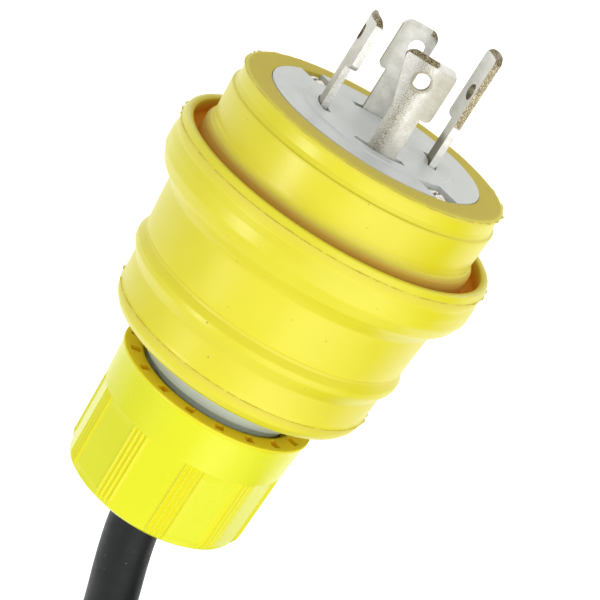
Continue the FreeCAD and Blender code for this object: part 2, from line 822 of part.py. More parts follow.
def seal_ring(end):
    """Round rubber ring in its groove between the boot and the collar."""
    ring = document.addObject("Part::Torus", f"{end}_seal_ring")
    ring.Label = f"{end}_seal_ring"
    bind(ring, Radius1="collar_radius + core_play + seal_radius", Radius2="seal_radius - seal_play")
    x, y, z = END_PLACES[end]
    ring.Placement = FreeCAD.Placement(FreeCAD.Vector(), FreeCAD.Rotation(FreeCAD.Vector(0, 1, 0), 90))
    bind(ring, Placement__Base__x=f"{x} - seal_depth", Placement__Base__y=y, Placement__Base__z=z)
    nodes.append(ring)


def grommet(end):
    """Rubber grommet that the nut squeezes on the cord."""
    body = new_body(f"{end}_grommet")
    turned(body, [
        ("-grommet_front", "cord_radius + grommet_grip"),
        ("-grommet_front", "mouth_bore - grommet_play"),
        ("-thread_back - flange_gap", "mouth_bore - grommet_play"),
        ("-thread_back - flange_gap", "grommet_flange"),
        ("-grommet_back", "grommet_flange"),
        ("-grommet_back", "cord_radius + grommet_grip"),
    ])
    seat(body, end)


def slip_washer(end):
    """Flat ring that lets the nut turn without dragging the grommet."""
    body = new_body(f"{end}_slip_washer")
    turned(body, [
        ("-washer_front", "washer_inner"),
        ("-washer_front", "washer_radius"),
        ("-washer_front - washer_thick", "washer_radius"),
        ("-washer_front - washer_thick", "washer_inner"),
    ])
    seat(body, end)


def cord_nut(end):
    """Clamping nut: smooth band, fluted grip with groups of fine ridges, recessed front face."""
    body = new_body(f"{end}_cord_nut")
    turned(body, [
        ("-nut_front", "nut_hole"),
        ("-nut_front", "nut_lip_radius"),
        ("-nut_front - nut_lip", "nut_band_front"),
        ("-nut_band_back", "nut_band_radius"),
        ("-nut_band_back - ridge_radius", "nut_band_radius - ridge_height"),
        ("-ridge_back", "nut_band_radius - ridge_height - ridge_drop"),
        ("-nut_edge_depth", "nut_edge_radius - ridge_height", "nut_round"),
        ("-nut_rear", "nut_edge_radius - ridge_height - nut_round"),
        ("-nut_rear", "nut_rear_hole"),
        ("-nut_wall_front", "nut_rear_hole"),
        ("-nut_wall_front", "cavity_radius"),
        ("-nut_thread_back", "cavity_radius"),
        ("-nut_thread_back", "thread_radius + thread_play"),
        ("-nut_front - nut_hole_depth", "thread_radius + thread_play"),
        ("-nut_front - nut_hole_depth", "nut_hole"),
    ])
    flute = body.newObject("PartDesign::SubtractiveCylinder", "flute")
    flute.Placement = FreeCAD.Placement(FreeCAD.Vector(), FreeCAD.Rotation(FreeCAD.Vector(0, -1, 0), 90))
    half_pitch = "180 / ridge_groups"
    bind(flute, Radius="flute_radius", Height="nut_rear - nut_band_back + cut_past")
    bind(flute, Placement__Base__x="-nut_band_back",
         Placement__Base__y=f"-(flute_bottom + flute_radius) * sin({half_pitch})",
         Placement__Base__z=f"(flute_bottom + flute_radius) * cos({half_pitch})")
    around(body, flute, "ridge_groups")
    circles = []
    for ridge in range(int(number("ridges_in_group"))):
        turn = f"(90 + ({ridge} - (ridges_in_group - 1) / 2) * ridge_pitch)"
        middle = "(nut_band_radius - ridge_radius)"
        circles.append((f"{middle} * cos{turn}", f"{middle} * sin{turn}", "ridge_radius"))
    ridges = pushed(body, "Pad", None, "-nut_band_back - ridge_height", "ridge_back - nut_band_back", circles)
    ridges.UseCustomVector = True
    ridges.Reversed = False
    fall = number("ridge_drop / (ridge_back - nut_band_back)")
    ridges.Direction = FreeCAD.Vector(-1, 0, -fall)
    around(body, ridges, "ridge_groups")
    side = "recess_size / 2"
    shift = "recess_circle * sin(recess_phase)"
    recess = [
        (f"-{shift} - {side}", f"recess_circle - {side}"),
        (f"-{shift} + {side}", f"recess_circle - {side}"),
        (f"-{shift} + {side}", f"recess_circle + {side}"),
        (f"-{shift} - {side}", f"recess_circle + {side}"),
    ]
    around(body, pushed(body, "Pocket", recess, "-nut_front", "recess_deep"), "recess_count")
    seat(body, end, "nut_turn")


# Cord inside each end

def cable_end(end):
    """The cord's jacket inside an end, from where it is stripped to the nut's rear."""
    body = new_body(f"{end}_cable_end")
    pushed(body, "Pad", None, "-jacket_end", "nut_rear - jacket_end", [("0", "0", "cord_radius")])
    seat(body, end)


def wire(end, colour, index):
    """One insulated core: out of the jacket, outwards in an S and straight into its clamp."""
    run = "(jacket_end - wire_straight - wire_back)"
    rise = "(clamp_circle - core_wire_circle)"
    halfway = "-(jacket_end - wire_straight + wire_back) / 2"
    bend = f"(({run} / 2)^2 + ({rise} / 2)^2) / {rise}"
    body = new_body(f"{end}_wire_{colour}")
    path = plane_sketch(body, "XZ_Plane")
    draw(path, [
        ("-jacket_end", "core_wire_circle"),
        ("-jacket_end + wire_straight", "core_wire_circle", bend),
        (halfway, "(core_wire_circle + clamp_circle) / 2", f"-({bend})"),
        ("-wire_back", "clamp_circle"),
        ("-wire_end", "clamp_circle"),
    ], closed=False)
    ring = plane_sketch(body, "YZ_Plane", "-jacket_end")
    draw_circle(ring, "0", "core_wire_circle", "core_wire")
    pipe = body.newObject("PartDesign::AdditivePipe", "pipe")
    pipe.Profile = ring
    pipe.Spine = (path, [])
    seat(body, end, f"blade_turn + {CORE_ANGLE * index}")


# Free cord

def tube_path(points):
    """Straight runs with an arc at each inner point, as large as the two runs allow."""
    edges = []
    radii = []
    last = points[0]
    for before, corner, after in zip(points, points[1:], points[2:]):
        back, ahead = before - corner, after - corner
        half_turn = (math.pi - back.getAngle(ahead)) / 2
        reach = 0.45 * min(back.Length, ahead.Length)
        start = corner + back.normalize() * reach
        end = corner + ahead.normalize() * reach
        radius = reach / math.tan(half_turn)
        towards = (start + end) * 0.5 - corner
        centre_away = reach / math.sin(half_turn)
        middle = corner + towards.normalize() * (centre_away - radius)
        edges.append(Part.LineSegment(last, start).toShape())
        edges.append(Part.Arc(start, middle, end).toShape())
        radii.append(radius)
        last = end
    edges.append(Part.LineSegment(last, points[-1]).toShape())
    return Part.Wire(edges), radii


def free_tube(label, path, start, heading):
    """Sweep the cord's section along a path and list the tube as a piece."""
    section = Part.Wire([Part.Circle(start, heading, number("cord_radius")).toShape()])
    shape = path.makePipeShell([section], True, False)
    if shape.ShapeType != "Solid":
        shape = Part.Solid(Part.Shell(shape.Faces))
    ideal = math.pi * number("cord_radius") ** 2 * path.Length
    print(f"{label}: length {path.Length:.1f}, volume {shape.Volume:.0f} of {ideal:.0f}")
    piece = document.addObject("Part::Feature", label)
    piece.Label = label
    piece.Shape = shape
    piece.Placement = FreeCAD.Placement()
    nodes.append(piece)


def coil_spot(turns):
    """Middle of the cord and its heading in the coil, after so many turns."""
    layer_turns = number("coil_turns / coil_layers")
    step = number("2 * cord_radius + turn_gap")
    arc_turns = layer_turns / number("arcs_in_layer")
    layer = min(int(turns / layer_turns + 1e-6), int(number("coil_layers")) - 1)
    inside = turns - layer * layer_turns
    inward = layer % 2 == 0
    radius = number("coil_outer") - step * (inside if inward else layer_turns - inside)
    nearest = round(turns / layer_turns)
    from_reversal = turns - nearest * layer_turns
    reversing = 0 < nearest < number("coil_layers")
    part = from_reversal / arc_turns
    height = step * layer
    climb = 0
    if reversing and abs(part) < 1:
        height = step * (nearest - 0.5 + math.sin(part * math.pi / 2) / 2)
        climb = step / arc_turns * math.pi / 4 * math.cos(part * math.pi / 2)
    at_node = abs(from_reversal) < arc_turns / 2 and (reversing or abs(from_reversal) < 1e-6)
    growth = 0 if at_node else (-step if inward else step)
    angle = math.radians(number("coil_first_angle")) + 2 * math.pi * turns
    out = FreeCAD.Vector(math.cos(angle), math.sin(angle), 0)
    along = FreeCAD.Vector(-out.y, out.x, 0)
    middle = FreeCAD.Vector(-number("coil_centre_back"), -number("coil_centre_side"), number("cord_radius"))
    spot = middle + out * radius + FreeCAD.Vector(0, 0, height)
    heading = along * (2 * math.pi * radius) + out * growth + FreeCAD.Vector(0, 0, climb)
    return spot, heading.normalize()


def biarc(start, start_way, end, end_way):
    """Two arcs that leave start and reach end along their headings, meeting smoothly."""
    gap = end - start
    a = 2 * (start_way.dot(end_way) - 1)
    b = -2 * gap.dot(start_way + end_way)
    c = gap.dot(gap)
    reach = -c / b if abs(a) < 1e-9 else (-b - math.sqrt(b * b - 4 * a * c)) / (2 * a)
    first, second = start + start_way * reach, end - end_way * reach
    meet = (first + second) * 0.5
    arcs = []
    for a_end, corner, b_end in ((start, first, meet), (meet, second, end)):
        chord_middle = (a_end + b_end) * 0.5
        half_chord = (b_end - a_end).Length / 2
        to_corner = corner - chord_middle
        half_turn = math.atan2(to_corner.Length, half_chord)
        sag = half_chord * math.tan(half_turn / 2)
        arcs.append(Part.Arc(a_end, chord_middle + to_corner.normalize() * sag, b_end).toShape())
    return arcs


def coil():
    """The coil: one unbroken tube that spirals in and out, a layer higher each time.

    Returns the two spots of the straight cord before it and the two after it.
    """
    count = int(number("coil_layers * arcs_in_layer"))
    stops = [coil_spot(number("coil_turns") * i / count) for i in range(count + 1)]
    lead = number("straight_end")
    start, start_way = stops[0]
    end, end_way = stops[-1]
    edges = [Part.LineSegment(start - start_way * lead, start).toShape()]
    for (spot, way), (next_spot, next_way) in zip(stops, stops[1:]):
        edges += biarc(spot, way, next_spot, next_way)
    edges.append(Part.LineSegment(end, end + end_way * lead).toShape())
    report_gap(edges)
    entry, leave = start - start_way * lead, end + end_way * lead
    free_tube("cord_coil", Part.Wire(edges), entry, start_way)
    before = entry - start_way * number("coil_entry_straight")
    after = leave + end_way * number("coil_exit_straight")
    return [before, entry], [leave, after]


def report_gap(edges):
    """Print the least gap between turns, measured on points along the coil's middle line."""
    points = []
    travelled = []
    total = 0
    for edge in edges:
        samples = edge.discretize(Distance=3.0)
        for spot in samples[:-1]:
            points.append(spot)
            travelled.append(total + (spot - samples[0]).Length)
        total += edge.Length
    diameter = number("2 * cord_radius")
    least = min(
        (points[j] - points[i]).Length
        for i in range(len(points))
        for j in range(i + 1, len(points))
        if travelled[j] - travelled[i] > 4 * diameter
    )
    print(f"coil: {total:.1f} long, least gap between turns {least - diameter:.2f}")


def route(label, spots):
    """A free stretch of cord through spots, the inner ones chosen by hand."""
    path, radii = tube_path(spots)
    print(f"{label}: radii", " ".join(f"{radius:.0f}" for radius in radii))
    free_tube(label, path, spots[0], spots[1] - spots[0])


def nut_exit(end):
    """Where the cord leaves an end's nut, and where its straight length behind the nut stops."""
    x, y, z = END_PLACES[end]
    rear = FreeCAD.Vector(number(f"{x} - nut_rear"), number(y), number(z))
    return [rear, rear - FreeCAD.Vector(number(f"{end}_exit_straight"), 0, 0)]


# Build

def build():
    for end in ("plug", "connector"):
        boot(end)
        face_insert(end)
        terminal_block(end)
        clamp_plates(end)
        terminal_screws(end)
        assembly_screws(end)
        core_body(end)
        seal_ring(end)
        grommet(end)
        slip_washer(end)
        cord_nut(end)
        cable_end(end)
        for index, colour in enumerate(CORES):
            wire(end, colour, index)
    for index, name in enumerate(CONTACT_NAMES):
        blade(f"blade_{name}", index)
        contact(f"contact_{name}", index)
    before_coil, after_coil = coil()
    chosen_run = [FreeCAD.Vector(*point) for point in RUN_POINTS]
    chosen_tail = [FreeCAD.Vector(*point) for point in TAIL_POINTS]
    route("cord_run", nut_exit("plug") + chosen_run + before_coil)
    route("cord_tail", after_coil + chosen_tail + nut_exit("connector")[::-1])


def write():
    """Check every object and write each piece."""
    document.recompute()
    for item in document.Objects:
        if "Invalid" in item.State or "Error" in item.State:
            raise ValueError(f"{item.Label} failed: {item.State}")
    for piece in nodes:
        if piece.Shape.isNull() or not piece.Shape.isValid():
            raise ValueError(f"{piece.Label} has no valid shape")
    os.makedirs("parts", exist_ok=True)
    for piece in nodes:
        piece.Shape.exportStep(f"parts/{piece.Label}.step")
    print(len(nodes), "pieces written")


build()
write()
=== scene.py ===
import json
import math

import bmesh
import bpy
from mathutils import Matrix, Vector, noise


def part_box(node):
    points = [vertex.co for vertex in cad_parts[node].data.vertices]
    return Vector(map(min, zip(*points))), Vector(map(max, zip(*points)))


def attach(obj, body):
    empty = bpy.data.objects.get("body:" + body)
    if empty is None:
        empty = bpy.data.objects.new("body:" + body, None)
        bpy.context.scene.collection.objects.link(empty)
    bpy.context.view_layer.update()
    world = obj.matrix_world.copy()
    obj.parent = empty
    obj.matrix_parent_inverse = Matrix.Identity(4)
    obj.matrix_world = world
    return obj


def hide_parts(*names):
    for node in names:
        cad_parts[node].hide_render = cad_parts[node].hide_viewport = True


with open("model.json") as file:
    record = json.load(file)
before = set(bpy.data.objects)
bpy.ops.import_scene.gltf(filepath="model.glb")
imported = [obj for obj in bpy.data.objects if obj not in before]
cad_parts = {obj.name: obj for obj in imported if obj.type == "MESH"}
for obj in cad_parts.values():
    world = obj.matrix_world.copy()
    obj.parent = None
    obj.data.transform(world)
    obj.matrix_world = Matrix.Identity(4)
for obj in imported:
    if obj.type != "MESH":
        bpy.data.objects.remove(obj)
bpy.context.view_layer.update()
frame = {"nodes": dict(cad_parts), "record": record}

# Sizes in millimetres are turned into metres by MM. Each end is drawn in its own frame:
# X along its axis, 0 at the disc's face, negative behind it; angles run from +Y towards +Z.
MM = 0.001
ENDS = ("plug", "connector")
TAU = 2 * math.pi


def end_origin(end):
    """Middle of an end's disc face, in metres."""
    low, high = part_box(f"{end}_boot")
    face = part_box(f"{end}_face_insert")[1].x
    return Vector((face, (low.y + high.y) / 2, (low.z + high.z) / 2))


# Mesh making

def new_object(name, data):
    item = bpy.data.objects.new(name, data)
    bpy.context.scene.collection.objects.link(item)
    return item


def smooth(data, sharp):
    """Shade a mesh smoothly, with edges sharper than an angle kept crisp."""
    data.polygons.foreach_set("use_smooth", [True] * len(data.polygons))
    data.set_sharp_from_angle(angle=math.radians(sharp))


def mesh_object(name, points, faces, sharp=40.0):
    data = bpy.data.meshes.new(name)
    data.from_pydata([tuple(p) for p in points], [], faces)
    data.validate()
    data.update()
    smooth(data, sharp)
    return new_object(name, data)


def painted(data, key, values):
    """Store one number for each point of a mesh, for its material to read."""
    data.attributes.new(key, "FLOAT", "POINT").data.foreach_set("value", values)


def shaped(item):
    """A new mesh of an object as its modifiers leave it."""
    bpy.context.view_layer.update()
    graph = bpy.context.evaluated_depsgraph_get()
    data = bpy.data.meshes.new_from_object(item.evaluated_get(graph))
    item.modifiers.clear()
    return data


def share(value, none, full):
    """0 at none, 1 at full, in between in proportion."""
    return max(0.0, min(1.0, (value - none) / (full - none)))


ROUNDING_STEPS = 5
# The most of a stretch of an outline that the rounding of one corner takes up
MOST_OF_STRETCH = 0.48
TINY = 1e-6


def rounded(profile):
    """Points (x, r, tint) of an outline of corners (x, r, radius of the corner, tint)."""
    points = []
    count = len(profile)
    for i, (x, r, radius, tint) in enumerate(profile):
        corner = Vector((x, r))
        before = Vector(profile[i - 1][:2]) - corner
        after = Vector(profile[(i + 1) % count][:2]) - corner
        if radius <= 0 or before.length < TINY or after.length < TINY:
            points.append((x, r, tint))
            continue
        turn = before.angle(after)
        shorter = min(before.length, after.length)
        reach = min(radius / math.tan(turn / 2), MOST_OF_STRETCH * shorter)
        start = corner + before.normalized() * reach
        end = corner + after.normalized() * reach
        for k in range(ROUNDING_STEPS + 1):
            t = k / ROUNDING_STEPS
            spot = start * (1 - t) ** 2 + corner * (2 * t * (1 - t)) + end * t ** 2
            points.append((spot.x, spot.y, tint))
    return points


def divided(points, longest):
    """The same closed outline with no stretch longer than a length."""
    result = []
    for (x0, r0, t0), (x1, r1, t1) in zip(points, points[1:] + points[:1]):
        parts = max(1, math.ceil(math.hypot(x1 - x0, r1 - r0) / longest))
        for k in range(parts):
            f = k / parts
            result.append((x0 + (x1 - x0) * f, r0 + (r1 - r0) * f, t0 + (t1 - t0) * f))
    return result


def ring_mesh(profile, origin, segments, longest, shape):
    """Points, faces and tints of a closed outline turned about an axis along X through origin.

    shape, unless it is None, moves each point: from x, r, angle and tint to x, r and tint.
    """
    outline = divided(rounded(profile), longest)
    points = []
    tints = []
    for s in range(segments):
        angle = TAU * s / segments
        for x, r, tint in outline:
            if shape:
                x, r, tint = shape(x, r, angle, tint)
            points.append(origin + Vector((x, r * math.cos(angle), r * math.sin(angle))) * MM)
            tints.append(tint)
    rows = len(outline)
    faces = []
    for s in range(segments):
        a, b = s * rows, (s + 1) % segments * rows
        for k in range(rows):
            n = (k + 1) % rows
            faces.append((a + k, b + k, b + n, a + n))
    return points, faces, tints


def tinted_object(name, points, faces, tints, sharp):
    item = mesh_object(name, points, faces, sharp)
    painted(item.data, "tint", tints)
    return item


def turned(name, end, profile, segments, longest, shape, sharp):
    """Turn a closed outline about an end's axis."""
    ring = ring_mesh(profile, end_origin(end), segments, longest, shape)
    return tinted_object(name, *ring, sharp)


def ragged(angle, seed, scale):
    """A repeatable unevenness round a ring, about -1 to 1."""
    spot = Vector((math.cos(angle) * scale, math.sin(angle) * scale, seed))
    return noise.noise(spot)


# Materials

def srgb(red, green, blue):
    """Linear colour of an 8-bit sRGB one."""
    channels = []
    for value in (red, green, blue):
        c = value / 255
        channels.append(c / 12.92 if c <= 0.04045 else ((c + 0.055) / 1.055) ** 2.4)
    return (*channels, 1.0)


# Between these two numbers lies most of what a noise texture gives
NOISE_RANGE = (0.3, 0.7)


class Nodes:
    """A material's nodes, made and linked by short calls."""

    def __init__(self, name):
        self.material = bpy.data.materials.new(name)
        self.material.use_nodes = True
        self.tree = self.material.node_tree
        self.shader = self.tree.nodes["Principled BSDF"]

    def add(self, kind, **settings):
        node = self.tree.nodes.new("ShaderNode" + kind)
        for key, value in settings.items():
            setattr(node, key, value)
        return node

    def link(self, source, target):
        self.tree.links.new(source, target)

    def feed(self, node, inputs):
        """Link the inputs of a node that are given a socket and set the others."""
        for key, value in inputs.items():
            if isinstance(value, bpy.types.NodeSocket):
                self.link(value, node.inputs[key])
            else:
                node.inputs[key].default_value = value

    def set(self, **inputs):
        """Give the shader's inputs, with _ for each space in their names."""
        self.feed(self.shader, {key.replace("_", " "): value for key, value in inputs.items()})

    def coordinates(self):
        return self.add("TexCoord").outputs["Object"]

    def noise(self, scale, detail, roughness=0.5):
        node = self.add("TexNoise")
        self.feed(node, {"Scale": scale, "Detail": detail, "Roughness": roughness})
        self.link(self.coordinates(), node.inputs["Vector"])
        return node.outputs["Fac"]

    def ramp(self, value, low, high, low_to=0.0, high_to=1.0):
        node = self.add("MapRange", clamp=True)
        self.feed(node, {"Value": value, "From Min": low, "From Max": high})
        self.feed(node, {"To Min": low_to, "To Max": high_to})
        return node.outputs["Result"]

    def spread(self, value, low_to=0.0, high_to=1.0):
        """Noise stretched to run between two numbers."""
        return self.ramp(value, *NOISE_RANGE, low_to, high_to)

    def cloud(self, scale, detail, low_to=0.0, high_to=1.0):
        return self.spread(self.noise(scale, detail), low_to, high_to)

    def mix(self, factor, first, second):
        node = self.add("Mix", data_type="RGBA")
        self.feed(node, {0: factor, 6: first, 7: second})
        return node.outputs[2]

    def math(self, operation, first, second):
        node = self.add("Math", operation=operation)
        self.feed(node, {0: first, 1: second})
        return node.outputs[0]

    def bump(self, height, distance, strength):
        node = self.add("Bump")
        self.feed(node, {"Height": height, "Distance": distance, "Strength": strength})
        self.set(Normal=node.outputs["Normal"])

    def colour(self, socket):
        self.set(Base_Color=socket)

    def roughness(self, socket):
        self.set(Roughness=socket)

    def attribute(self, name):
        return self.add("Attribute", attribute_name=name).outputs["Fac"]


def boot_rubber():
    """Yellow moulded rubber: faint clouding, ochre where dust and painted shade gather, a few
    specks.

    The tint attribute runs from plain yellow at 0 over ochre at 1 to deep orange at 2, the orange
    being painted shade and painted bounce light deep in the gaps.
    """
    m = Nodes("boot_rubber")
    tint = m.attribute("tint")
    cloud = m.cloud(38.0, 3.0)
    yellow = m.mix(cloud, srgb(233, 224, 36), srgb(241, 233, 52))
    patch = m.ramp(m.noise(160.0, 4.0), 0.35, 0.75, 0.8, 1.0)
    # Ochre: dust together with painted shade on the front ring, in grooves and along the flash.
    dust_and_shade = m.mix(m.math("MULTIPLY", m.ramp(tint, 0.0, 1.0), patch), yellow, srgb(221, 198, 98))
    # Deep orange: painted shade and painted bounce light deep in the gap under the shroud.
    deep = m.mix(m.ramp(tint, 1.0, 2.0), dust_and_shade, srgb(228, 156, 0))
    specks = m.ramp(m.noise(760.0, 1.0), 0.79, 0.80)
    m.colour(m.mix(m.math("MULTIPLY", specks, 0.5), deep, srgb(120, 96, 30)))
    gloss = m.cloud(90.0, 3.0, 0.30, 0.35)
    m.roughness(m.math("MAXIMUM", gloss, m.ramp(tint, 0.0, 0.9, 0.3, 0.9)))
    m.set(Specular_IOR_Level=0.5)
    m.bump(m.noise(1400.0, 3.0), 0.00006, 0.35)
    return m.material


def nut_plastic():
    """Bright lemon plastic, smoother than the rubber; tint warms it towards orange on the front
    face, in recesses and grooves, as painted shade and painted bounce light.
    """
    m = Nodes("nut_plastic")
    tint = m.attribute("tint")
    cloud = m.cloud(45.0, 2.0)
    lemon = m.mix(cloud, srgb(236, 239, 10), srgb(240, 243, 18))
    warm = m.mix(m.ramp(tint, 0.0, 1.0), lemon, srgb(255, 208, 0))
    m.colour(m.mix(m.ramp(tint, 1.0, 2.0), warm, srgb(240, 160, 0)))
    gloss = m.cloud(120.0, 2.0, 0.26, 0.28)
    m.roughness(m.math("MAXIMUM", gloss, m.ramp(tint, 0.1, 0.6, 0.26, 0.9)))
    m.set(Specular_IOR_Level=0.5)
    m.bump(m.noise(1500.0, 2.0), 0.00003, 0.15)
    return m.material


def insert_grey():
    """Pale neutral grey moulding with a fine eroded texture."""
    m = Nodes("insert_grey")
    cloud = m.cloud(60.0, 3.0)
    m.colour(m.mix(cloud, srgb(221, 225, 223), srgb(232, 235, 233)))
    m.roughness(m.cloud(200.0, 3.0, 0.36, 0.5))
    m.bump(m.noise(1600.0, 3.0), 0.00006, 0.4)
    return m.material


def core_grey():
    """Slightly greener grey of the body between boot and nut, darker where the tint paints shade."""
    m = Nodes("core_grey")
    cloud = m.cloud(70.0, 3.0)
    pale = m.mix(cloud, srgb(222, 237, 240), srgb(232, 246, 248))
    m.colour(m.mix(m.attribute("tint"), pale, srgb(160, 170, 160)))
    m.roughness(m.cloud(150.0, 3.0, 0.40, 0.5))
    m.bump(m.noise(1500.0, 2.0), 0.00004, 0.25)
    return m.material


def blade_metal():
    """Nickel plate: tone runs from bright at 0 over grey at 1 to dark brown at 2; most of the
    darkening is painted shade and painted reflection.

    speckle says how strongly fine specks show: dark ones on the plate, pale ones where the tone is
    dark.
    """
    m = Nodes("blade_metal")
    tone = m.attribute("tone")
    cloud = m.cloud(350.0, 3.0)
    bright = m.mix(cloud, srgb(206, 205, 198), srgb(221, 221, 217))
    grey = m.mix(m.ramp(tone, 0.0, 1.0), bright, srgb(150, 146, 130))
    # Dark brown: mostly painted shade and painted reflection.
    dark_brown = m.mix(m.ramp(tone, 1.0, 2.0), grey, srgb(84, 72, 50))
    speck = m.mix(m.ramp(tone, 0.8, 1.4), srgb(112, 108, 90), srgb(206, 196, 160))
    fine = m.ramp(m.noise(3300.0, 2.0, 0.6), 0.46, 0.62)
    m.colour(m.mix(m.math("MULTIPLY", fine, m.attribute("speckle")), dark_brown, speck))
    m.roughness(m.ramp(cloud, 0.0, 1.0, 0.5, 0.42))
    m.set(Metallic=0.9)
    m.bump(m.noise(1800.0, 2.0), 0.00003, 0.2)
    return m.material


def screw_steel():
    m = Nodes("screw_steel")
    grain = m.noise(500.0, 4.0)
    m.colour(m.mix(m.spread(grain), srgb(176, 172, 160), srgb(214, 211, 200)))
    m.roughness(m.spread(grain, 0.22, 0.36))
    m.set(Metallic=1.0)
    m.bump(grain, 0.00004, 0.3)
    return m.material


def brass(name, dark, light):
    m = Nodes(name)
    grain = m.noise(420.0, 4.0)
    m.colour(m.mix(m.spread(grain), dark, light))
    m.roughness(m.spread(grain, 0.25, 0.4))
    m.set(Metallic=1.0)
    m.bump(grain, 0.00004, 0.25)
    return m.material


def cord_jacket():
    """Black rubber jacket with a dry sheen, scuffs and a few pale specks."""
    m = Nodes("cord_jacket")
    scuff = m.ramp(m.noise(120.0, 5.0, 0.65), 0.45, 0.75)
    base = m.mix(scuff, srgb(10, 12, 14), srgb(24, 26, 27))
    specks = m.ramp(m.noise(1100.0, 1.0), 0.76, 0.78)
    m.colour(m.mix(m.math("MULTIPLY", specks, 0.5), base, srgb(150, 150, 148)))
    m.roughness(m.cloud(260.0, 4.0, 0.42, 0.56))
    m.set(Specular_IOR_Level=0.3)
    m.bump(m.noise(900.0, 4.0), 0.00008, 0.4)
    return m.material


def plain(name, dark, light, rough=0.5):
    """A moulded material of two close tones."""
    m = Nodes(name)
    tone = m.noise(220.0, 3.0)
    m.colour(m.mix(m.spread(tone), dark, light))
    m.roughness(m.spread(tone, rough - 0.05, rough + 0.06))
    m.bump(m.noise(1300.0, 2.0), 0.00004, 0.25)
    return m.material


MATERIALS = {
    "boot_rubber": boot_rubber(),
    "nut_plastic": nut_plastic(),
    "insert_grey": insert_grey(),
    "core_grey": core_grey(),
    "blade_metal": blade_metal(),
    "screw_steel": screw_steel(),
    "clamp_brass": brass("clamp_brass", srgb(176, 144, 84), srgb(206, 176, 112)),
    "contact_brass": brass("contact_brass", srgb(190, 160, 98), srgb(216, 190, 130)),
    "cord_jacket": cord_jacket(),
    "block_plastic": plain("block_plastic", srgb(34, 34, 35), srgb(44, 44, 45)),
    "seal_rubber": plain("seal_rubber", srgb(26, 26, 27), srgb(36, 36, 37), 0.6),
    "washer_plastic": plain("washer_plastic", srgb(214, 214, 208), srgb(226, 226, 220)),
    "wire_green": plain("wire_green", srgb(20, 110, 48), srgb(30, 126, 58)),
    "wire_black": plain("wire_black", srgb(24, 24, 24), srgb(34, 34, 34)),
    "wire_white": plain("wire_white", srgb(226, 226, 220), srgb(238, 238, 233)),
    "wire_red": plain("wire_red", srgb(160, 26, 22), srgb(178, 34, 28)),
}


def finish_as(item, slot):
    item.data.materials.clear()
    item.data.materials.append(MATERIALS[slot])
    return item


# CAD nodes: each gets the material of its slot

SLOT_OF = {row["node"]: row["material_slot"] for row in frame["record"]["subparts"]}
for node, item in frame["nodes"].items():
    material = MATERIALS[SLOT_OF[node]]
    for slot in item.material_slots:
        slot.material = material
    if not item.material_slots:
        item.data.materials.append(material)


# Boots: the outline of each, (x, r, rounding, tint) in millimetres, from the front ring
# outwards and back. Tint runs from plain yellow at 0 over ochre at 1 to deep orange at 2; it is
# painted shade, with some dust, on the front ring, in grooves, along the flash and deep in the gap.

BOOT_REAR = [
    (-38.2, 41.1, 1.6, 0.05),
    (-52.1, 40.15, 0.3, 0.0),
    (-52.6, 39.7, 0.2, 0.35),
    (-53.4, 39.75, 0.3, 0.1),
    (-55.3, 41.15, 1.0, 0.0),
    (-57.0, 41.15, 1.2, 0.0),
    (-58.6, 40.3, 1.0, 0.0),
    (-60.9, 38.95, 1.2, 0.1),
    (-68.4, 38.65, 0.4, 0.0),
    (-69.05, 38.75, 0.05, 0.0),
    (-69.2, 39.25, 0.0, 1.3),
    (-69.35, 38.75, 0.05, 0.5),
    (-72.2, 38.3, 1.5, 0.0),
    (-74.1, 36.9, 1.2, 0.0),
    (-75.3, 34.9, 0.8, 0.15),
    (-75.3, 25.3, 0.3, 0.6),
    (-72.0, 25.3, 0.0, 0.6),
    (-72.0, 35.3, 0.0, 0.6),
    (-47.0, 35.3, 0.0, 0.6),
    (-47.0, 31.8, 0.0, 0.6),
]
BOOT_FRONT = {
    "plug": [
        (-0.5, 31.8, 0.3, 0.9),
        (-0.5, 38.3, 0.5, 0.85),
        (-0.8, 39.2, 0.2, 0.2),
        (-1.0, 40.0, 0.0, 1.2),
        (-1.2, 39.25, 0.1, 0.4),
        (-2.4, 39.1, 0.4, 0.0),
        (-5.0, 39.1, 0.6, 0.0),
        (-6.3, 39.5, 0.3, 0.1),
        (-6.6, 40.15, 0.2, 0.2),
        (-7.6, 40.15, 0.5, 0.0),
        (-16.0, 39.75, 0.6, 0.0),
        (-17.6, 39.9, 0.5, 0.2),
        (-19.0, 41.0, 1.0, 1.3),
        (-21.0, 41.0, 0.0, 1.4),
        (-24.0, 41.0, 0.8, 2.0),
        (-24.0, 44.4, 0.8, 2.0),
        (-21.0, 44.4, 0.0, 1.5),
        (-19.5, 44.4, 0.4, 0.8),
        (-19.2, 46.5, 0.6, 0.0),
        (-21.1, 47.0, 0.05, 0.0),
        (-21.3, 47.55, 0.0, 1.3),
        (-21.5, 46.95, 0.05, 0.4),
        (-24.5, 46.6, 0.8, 0.0),
        (-26.5, 47.0, 1.0, 0.0),
        (-30.0, 47.0, 2.5, 0.0),
        (-33.4, 45.5, 2.0, 0.0),
        (-36.2, 42.7, 2.0, 0.05),
    ],
    "connector": [
        (0.3, 31.8, 0.2, 0.9),
        (0.3, 40.35, 0.2, 0.9),
        (18.0, 40.35, 0.4, 0.5),
        (19.2, 41.35, 0.4, 0.4),
        (22.0, 41.35, 0.5, 0.3),
        (22.0, 43.0, 0.9, 0.0),
        (20.6, 43.85, 0.8, 0.0),
        (2.0, 43.85, 1.5, 0.0),
        (-2.7, 45.1, 1.2, 0.0),
        (-4.9, 45.1, 0.2, 0.1),
        (-5.2, 45.2, 0.05, 0.85),
        (-5.5, 45.1, 0.1, 0.4),
        (-7.8, 45.1, 1.5, 0.0),
    ],
}
